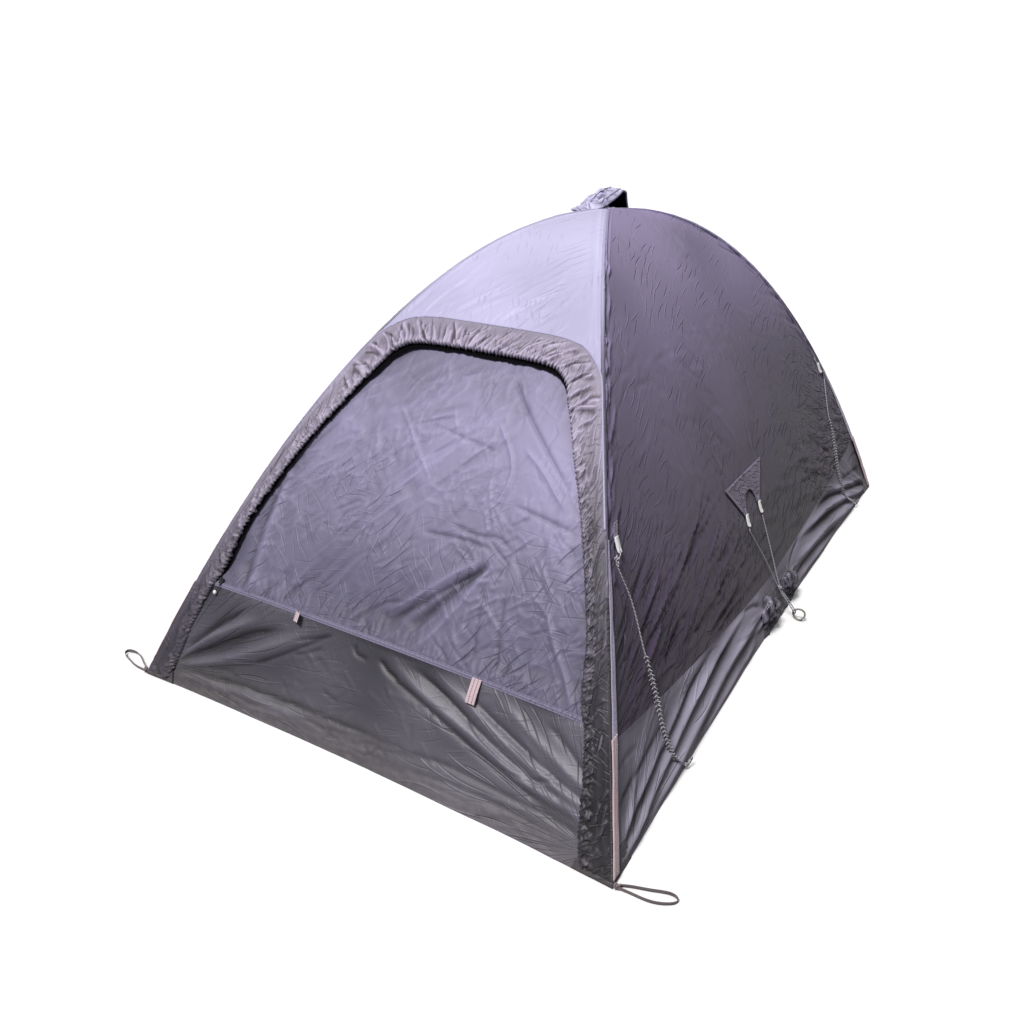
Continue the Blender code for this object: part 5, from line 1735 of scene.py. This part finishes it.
class TENT_OT_line_locks(bpy.types.Operator):
    """The moulded locks of the guy cords, their webbing tabs and short cord tails"""
    bl_idname = "tent.line_locks"
    bl_label = "Line Locks"

    def execute(self, context):
        share = float(share_at(sum(LOCK_HEIGHTS) / 2))

        def tab_relief(across, along):
            return 0.0012 + 0.0016 * wrinkles(across * 0.006, along, 0.01, 821, 40) + 0.001 * np.abs(across)
        for number, (corner, (x_sign, y_sign)) in enumerate(CORNERS.items()):
            side, u_sign = long_side(corner)
            axes = local_axes(side, u_sign * (1 - FITTING_INSET / float(ridge(share)[1])), share)
            add_lock(f"cord_lock_{corner}", axes, 0.0032, f"line_lock_{corner}", sideways=0.42 * x_sign * y_sign)
            strip(f"lock_tab_{corner}", side, (10, 30),
                  corner_band(corner, FITTING_INSET - 0.013, 0.018, (0.49, 0.518)), 0.018, tab_relief, 0.0024,
                  ("Tab Webbing", "webbing"), f"ridge_tab_{corner}", 0.0013)
            draw = np.random.default_rng(800 + number)
            tail = from_place(axes, ((0.0075, -0.008, 0.0), (0.0095, -0.018, 0.0),
                                     (0.0075, -0.032, draw.uniform(-0.006, 0.006)),
                                     (0.0065, -0.044, draw.uniform(-0.01, 0.01))))
            add_tube(f"lock_tail_{corner}", smooth_path(tail, 50), CORD_RADIUS * 0.9, "Guy Cord", "cord", sides=8,
                     ribs=strands)
        share = float(share_at(sum(SIDE_LOCK_HEIGHTS) / 2))
        for side, x_sign in SIDE_SIGNS.items():
            for name, sign in (("front", -1), ("back", 1)):
                axes = local_axes(side, x_sign * (SIDE_PATCH_SHIFT + sign * SIDE_LEG) / float(ridge(share)[1]), share)
                add_lock(f"side_cord_lock_{side}_{name}", axes, 0.0035, f"side_lock_{side}_{name}")
                tab = from_place(axes, ((0.0042, 0.006, 0.0), (0.0052, 0.014, 0.0), (0.0045, 0.022, 0.0),
                                        (0.0032, 0.032, 0.0)))
                add_tube(f"side_lock_tab_{side}_{name}", smooth_path(tab, 30), 0.004, "Tab Webbing", "webbing",
                         sides=12, first_side=tuple(np.cross(axes[2], axes[1])), flatten=0.22)
        return {"FINISHED"}


class TENT_OT_peg_loops(bpy.types.Operator):
    """The webbing loops for the corner pegs, lying on the ground"""
    bl_idname = "tent.peg_loops"
    bl_label = "Peg Loops"

    def execute(self, context):
        radius = context.scene.tent_form.peg_webbing_width / 2
        angle = np.linspace(0, 2 * np.pi, 161)
        along = PEG_LOOP_LENGTH * (1 - np.cos(angle)) / 2
        for number, (corner, (x_sign, y_sign)) in enumerate(CORNERS.items()):
            draw = np.random.default_rng(900 + number)
            across = PEG_LOOP_WIDTH / 2 * np.sin(angle) * (0.35 + 0.65 * along / PEG_LOOP_LENGTH)
            across = across + 0.003 * np.sin(along * 60 + draw.uniform(0, 6)) * np.sin(angle / 2)
            out_x, out_y, turn = PEG_LOOP_ROOTS[y_sign]
            x = WIDTH / 2 + out_x + along * math.cos(turn) + across * math.sin(turn)
            y = LENGTH / 2 + out_y - along * math.sin(turn) + across * math.cos(turn)
            z = 0.0052 + 0.003 * np.sin(angle / 2) ** 2 * (1 + np.sin(2 * angle + draw.uniform(0, 6))) / 2
            path = columns(x_sign * x, y_sign * y, z)
            lean = 0.55 * math.sin(angle[1]) * y_sign
            add_tube(f"peg_webbing_{corner}", path, radius, "Peg Webbing", "webbing", f"peg_loop_{corner}", sides=16,
                     closed=True, first_side=(0.35 * lean, 0.3 * y_sign, 1.0), flatten=0.17)
            centre = path[0] + (x_sign * 0.004 * math.cos(turn), 0.0, 0.0021)
            add_piece(f"peg_knot_{corner}", knot_mesh(centre, path[2] - path[0], 0.0125, 0.0019), "Peg Webbing",
                      "webbing")
            stop = int(len(path) * 0.62)
            add_tube(f"peg_overlap_{corner}", path[stop - 16:stop + 8] + (0.0, 0.0, 0.0004), radius * 1.02,
                     "Peg Overlap", "webbing", sides=16, first_side=(0.0, 0.3 * y_sign, 1.0), flatten=0.3)
        return {"FINISHED"}


class TENT_OT_door_fittings(bpy.types.Operator):
    """Pull tabs under the door, the zip's slider with its bead, and the small cord loop"""
    bl_idname = "tent.door_fittings"
    bl_label = "Door Fittings"

    def execute(self, context):
        for name, x, drop, turn, half in (("left", -0.215, 0.015, 0.1, 0.009), ("right", 0.24, 0.04, 1.0, 0.0105)):
            limits = band(TUB_END_HEIGHT - drop, TUB_END_HEIGHT + 0.003, u_at=lambda across, up, share: (
                x + half * across + 0.002 * (1 - up)) / ridge(share)[0])

            def relief(across, along):
                below = climb("front", share_at(TUB_END_HEIGHT)) - along
                return 0.0055 + 0.14 * below + 0.006 * (1 - turn) * (across + 1) + 0.0008 * np.sin(along * 90)
            strip(f"door_pull_tab_{name}", "front", (8, 30), limits, 2 * half, relief, 0.0016,
                  ("Corner Webbing", "webbing"), f"door_pull_{name}")
        share = float(share_at(TUB_END_HEIGHT + 0.009))
        axes = local_axes("front", -0.452 / float(ridge(share)[0]), share)
        add_lock("door_slider", axes, 0.0012, "zip_slider", "Black Plastic", size=(0.01, 0.016, 0.0042))
        hanging = from_place(axes, ((0.004, 0.0, 0.0), (0.006, -0.01, 0.004), (0.005, -0.022, 0.001),
                                    (0.004, -0.032, 0.0)))
        add_tube("slider_cord", smooth_path(hanging, 40), 0.0011, "Black Cord", "cord", sides=8, ribs=strands)
        bead, place = bmesh.new(), Vector(from_place(axes, ((0.0045, -0.03, 0.0),))[0])
        bmesh.ops.create_uvsphere(bead, u_segments=20, v_segments=14, radius=0.0042)
        for vertex in bead.verts:
            vertex.co.z *= 1.35
            vertex.co += place
        add_piece("slider_bead", mesh_from(bead, "slider_bead", smooth=True), "Lock Plastic", "plastic")
        return {"FINISHED"}


class TENT_OT_poles(bpy.types.Operator):
    """Gives the two crossed poles inside the fabric their metal finish"""
    bl_idname = "tent.poles"
    bl_label = "Poles"

    def execute(self, context):
        for name in POLES:
            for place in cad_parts[name].material_slots:
                place.material = finish("Pole Alloy")
        return {"FINISHED"}


# ---- studio

LENS = 31.8
KEY_DIRECTION = (-0.06, -0.52, 0.85)
CAMERA_PLACE = (1.0251, -2.1888, 1.2372)
CAMERA_TURN = tuple(math.radians(angle) for angle in (30.39, 90.0 - 24.28, 1.39))


class TENT_OT_studio(bpy.types.Operator):
    """A pale floor, soft studio light and the camera"""
    bl_idname = "tent.studio"
    bl_label = "Studio"

    def execute(self, context):
        scene, chosen = context.scene, context.scene.tent_studio
        scene.view_settings.view_transform = "Standard"
        lens = bpy.data.cameras.new("camera")
        lens.lens, lens.sensor_width = LENS, 36.0
        lamp = bpy.data.lights.new("key", "SUN")
        lamp.energy, lamp.angle, lamp.color = chosen.key_power, math.radians(16.0), (1.0, 0.985, 0.97)
        ground = bmesh.new()
        bmesh.ops.create_circle(ground, cap_ends=True, segments=96, radius=14.0)
        camera, light, floor = (bpy.data.objects.new(name, data) for name, data in (
            ("camera", lens), ("key", lamp), ("studio_floor", mesh_from(ground, "studio_floor"))))
        for made in (camera, light, floor):
            scene.collection.objects.link(made)
        around, tilt, roll = CAMERA_TURN
        camera.matrix_world = (Matrix.Translation(CAMERA_PLACE) @ Matrix.Rotation(around, 4, "Z")
                               @ Matrix.Rotation(tilt, 4, "X") @ Matrix.Rotation(roll, 4, "Z"))
        scene.camera = camera
        light.rotation_euler = Vector(KEY_DIRECTION).to_track_quat("Z", "Y").to_euler()

        # The floor lights the tent far less than the camera sees of it, and the air is white to the camera
        material, world = bpy.data.materials.new("Studio Floor"), bpy.data.worlds.new("Studio Air")
        floor.data.materials.append(material)
        scene.world = world
        material.use_nodes = world.use_nodes = True
        g, shader = Graph(material.node_tree), material.node_tree.nodes["Principled BSDF"].inputs
        shader["Roughness"].default_value, shader["Specular IOR Level"].default_value = 0.9, 0.1
        dim = tuple(value * 0.14 for value in chosen.floor)
        g.feed(shader["Base Color"], g.mix(g.node("LightPath")["Is Camera Ray"], four(dim), four(chosen.floor)))
        g, background = Graph(world.node_tree), world.node_tree.nodes["Background"].inputs
        share = g.ramp(g.apart(g.node("TexCoord")["Generated"])[2], 0.05, 0.95)
        soft = g.mix(share, (0.1, 0.1, 0.11, 1.0), (1.0, 0.99, 1.0, 1.0))
        g.feed(background["Color"], g.mix(g.node("LightPath")["Is Camera Ray"], soft, (3.0, 3.0, 3.0, 1.0)))
        background["Strength"].default_value = chosen.sky_strength
        return {"FINISHED"}


PIECE_OPERATORS = (
    TENT_OT_studio, TENT_OT_guy_cords, TENT_OT_side_guys, TENT_OT_tub, TENT_OT_walls, TENT_OT_door,
    TENT_OT_cuff, TENT_OT_hood, TENT_OT_ridges, TENT_OT_patches, TENT_OT_line_locks, TENT_OT_peg_loops,
    TENT_OT_door_fittings, TENT_OT_poles,
)


class TENT_PT_parts(bpy.types.Panel):
    """The tent's settings and the operators that make its pieces"""
    bl_idname = "TENT_PT_parts"
    bl_label = "Mountain Tent"
    bl_space_type = "VIEW_3D"
    bl_region_type = "UI"
    bl_category = "Tent"

    def draw(self, context):
        layout = self.layout
        for settings in (getattr(context.scene, name) for name in SETTINGS):
            box = layout.box()
            for name in settings.bl_rna.properties.keys():
                if name not in ("rna_type", "name"):
                    box.prop(settings, name)
        for operator in PIECE_OPERATORS:
            layout.operator(operator.bl_idname)


SETTINGS = {"tent_form": TentFormSettings, "tent_colours": TentColourSettings, "tent_studio": TentStudioSettings}
CLASSES = (*SETTINGS.values(), *PIECE_OPERATORS, TENT_PT_parts)


def register():
    for kind in CLASSES:
        bpy.utils.register_class(kind)
    for name, kind in SETTINGS.items():
        setattr(bpy.types.Scene, name, bpy.props.PointerProperty(type=kind))


def unregister():
    for name in SETTINGS:
        delattr(bpy.types.Scene, name)
    for kind in reversed(CLASSES):
        bpy.utils.unregister_class(kind)


def main():
    register()
    for operator in PIECE_OPERATORS:
        getattr(bpy.ops.tent, operator.bl_idname.split(".")[1])()
    bpy.context.view_layer.update()


if __name__ == "__main__":
    main()
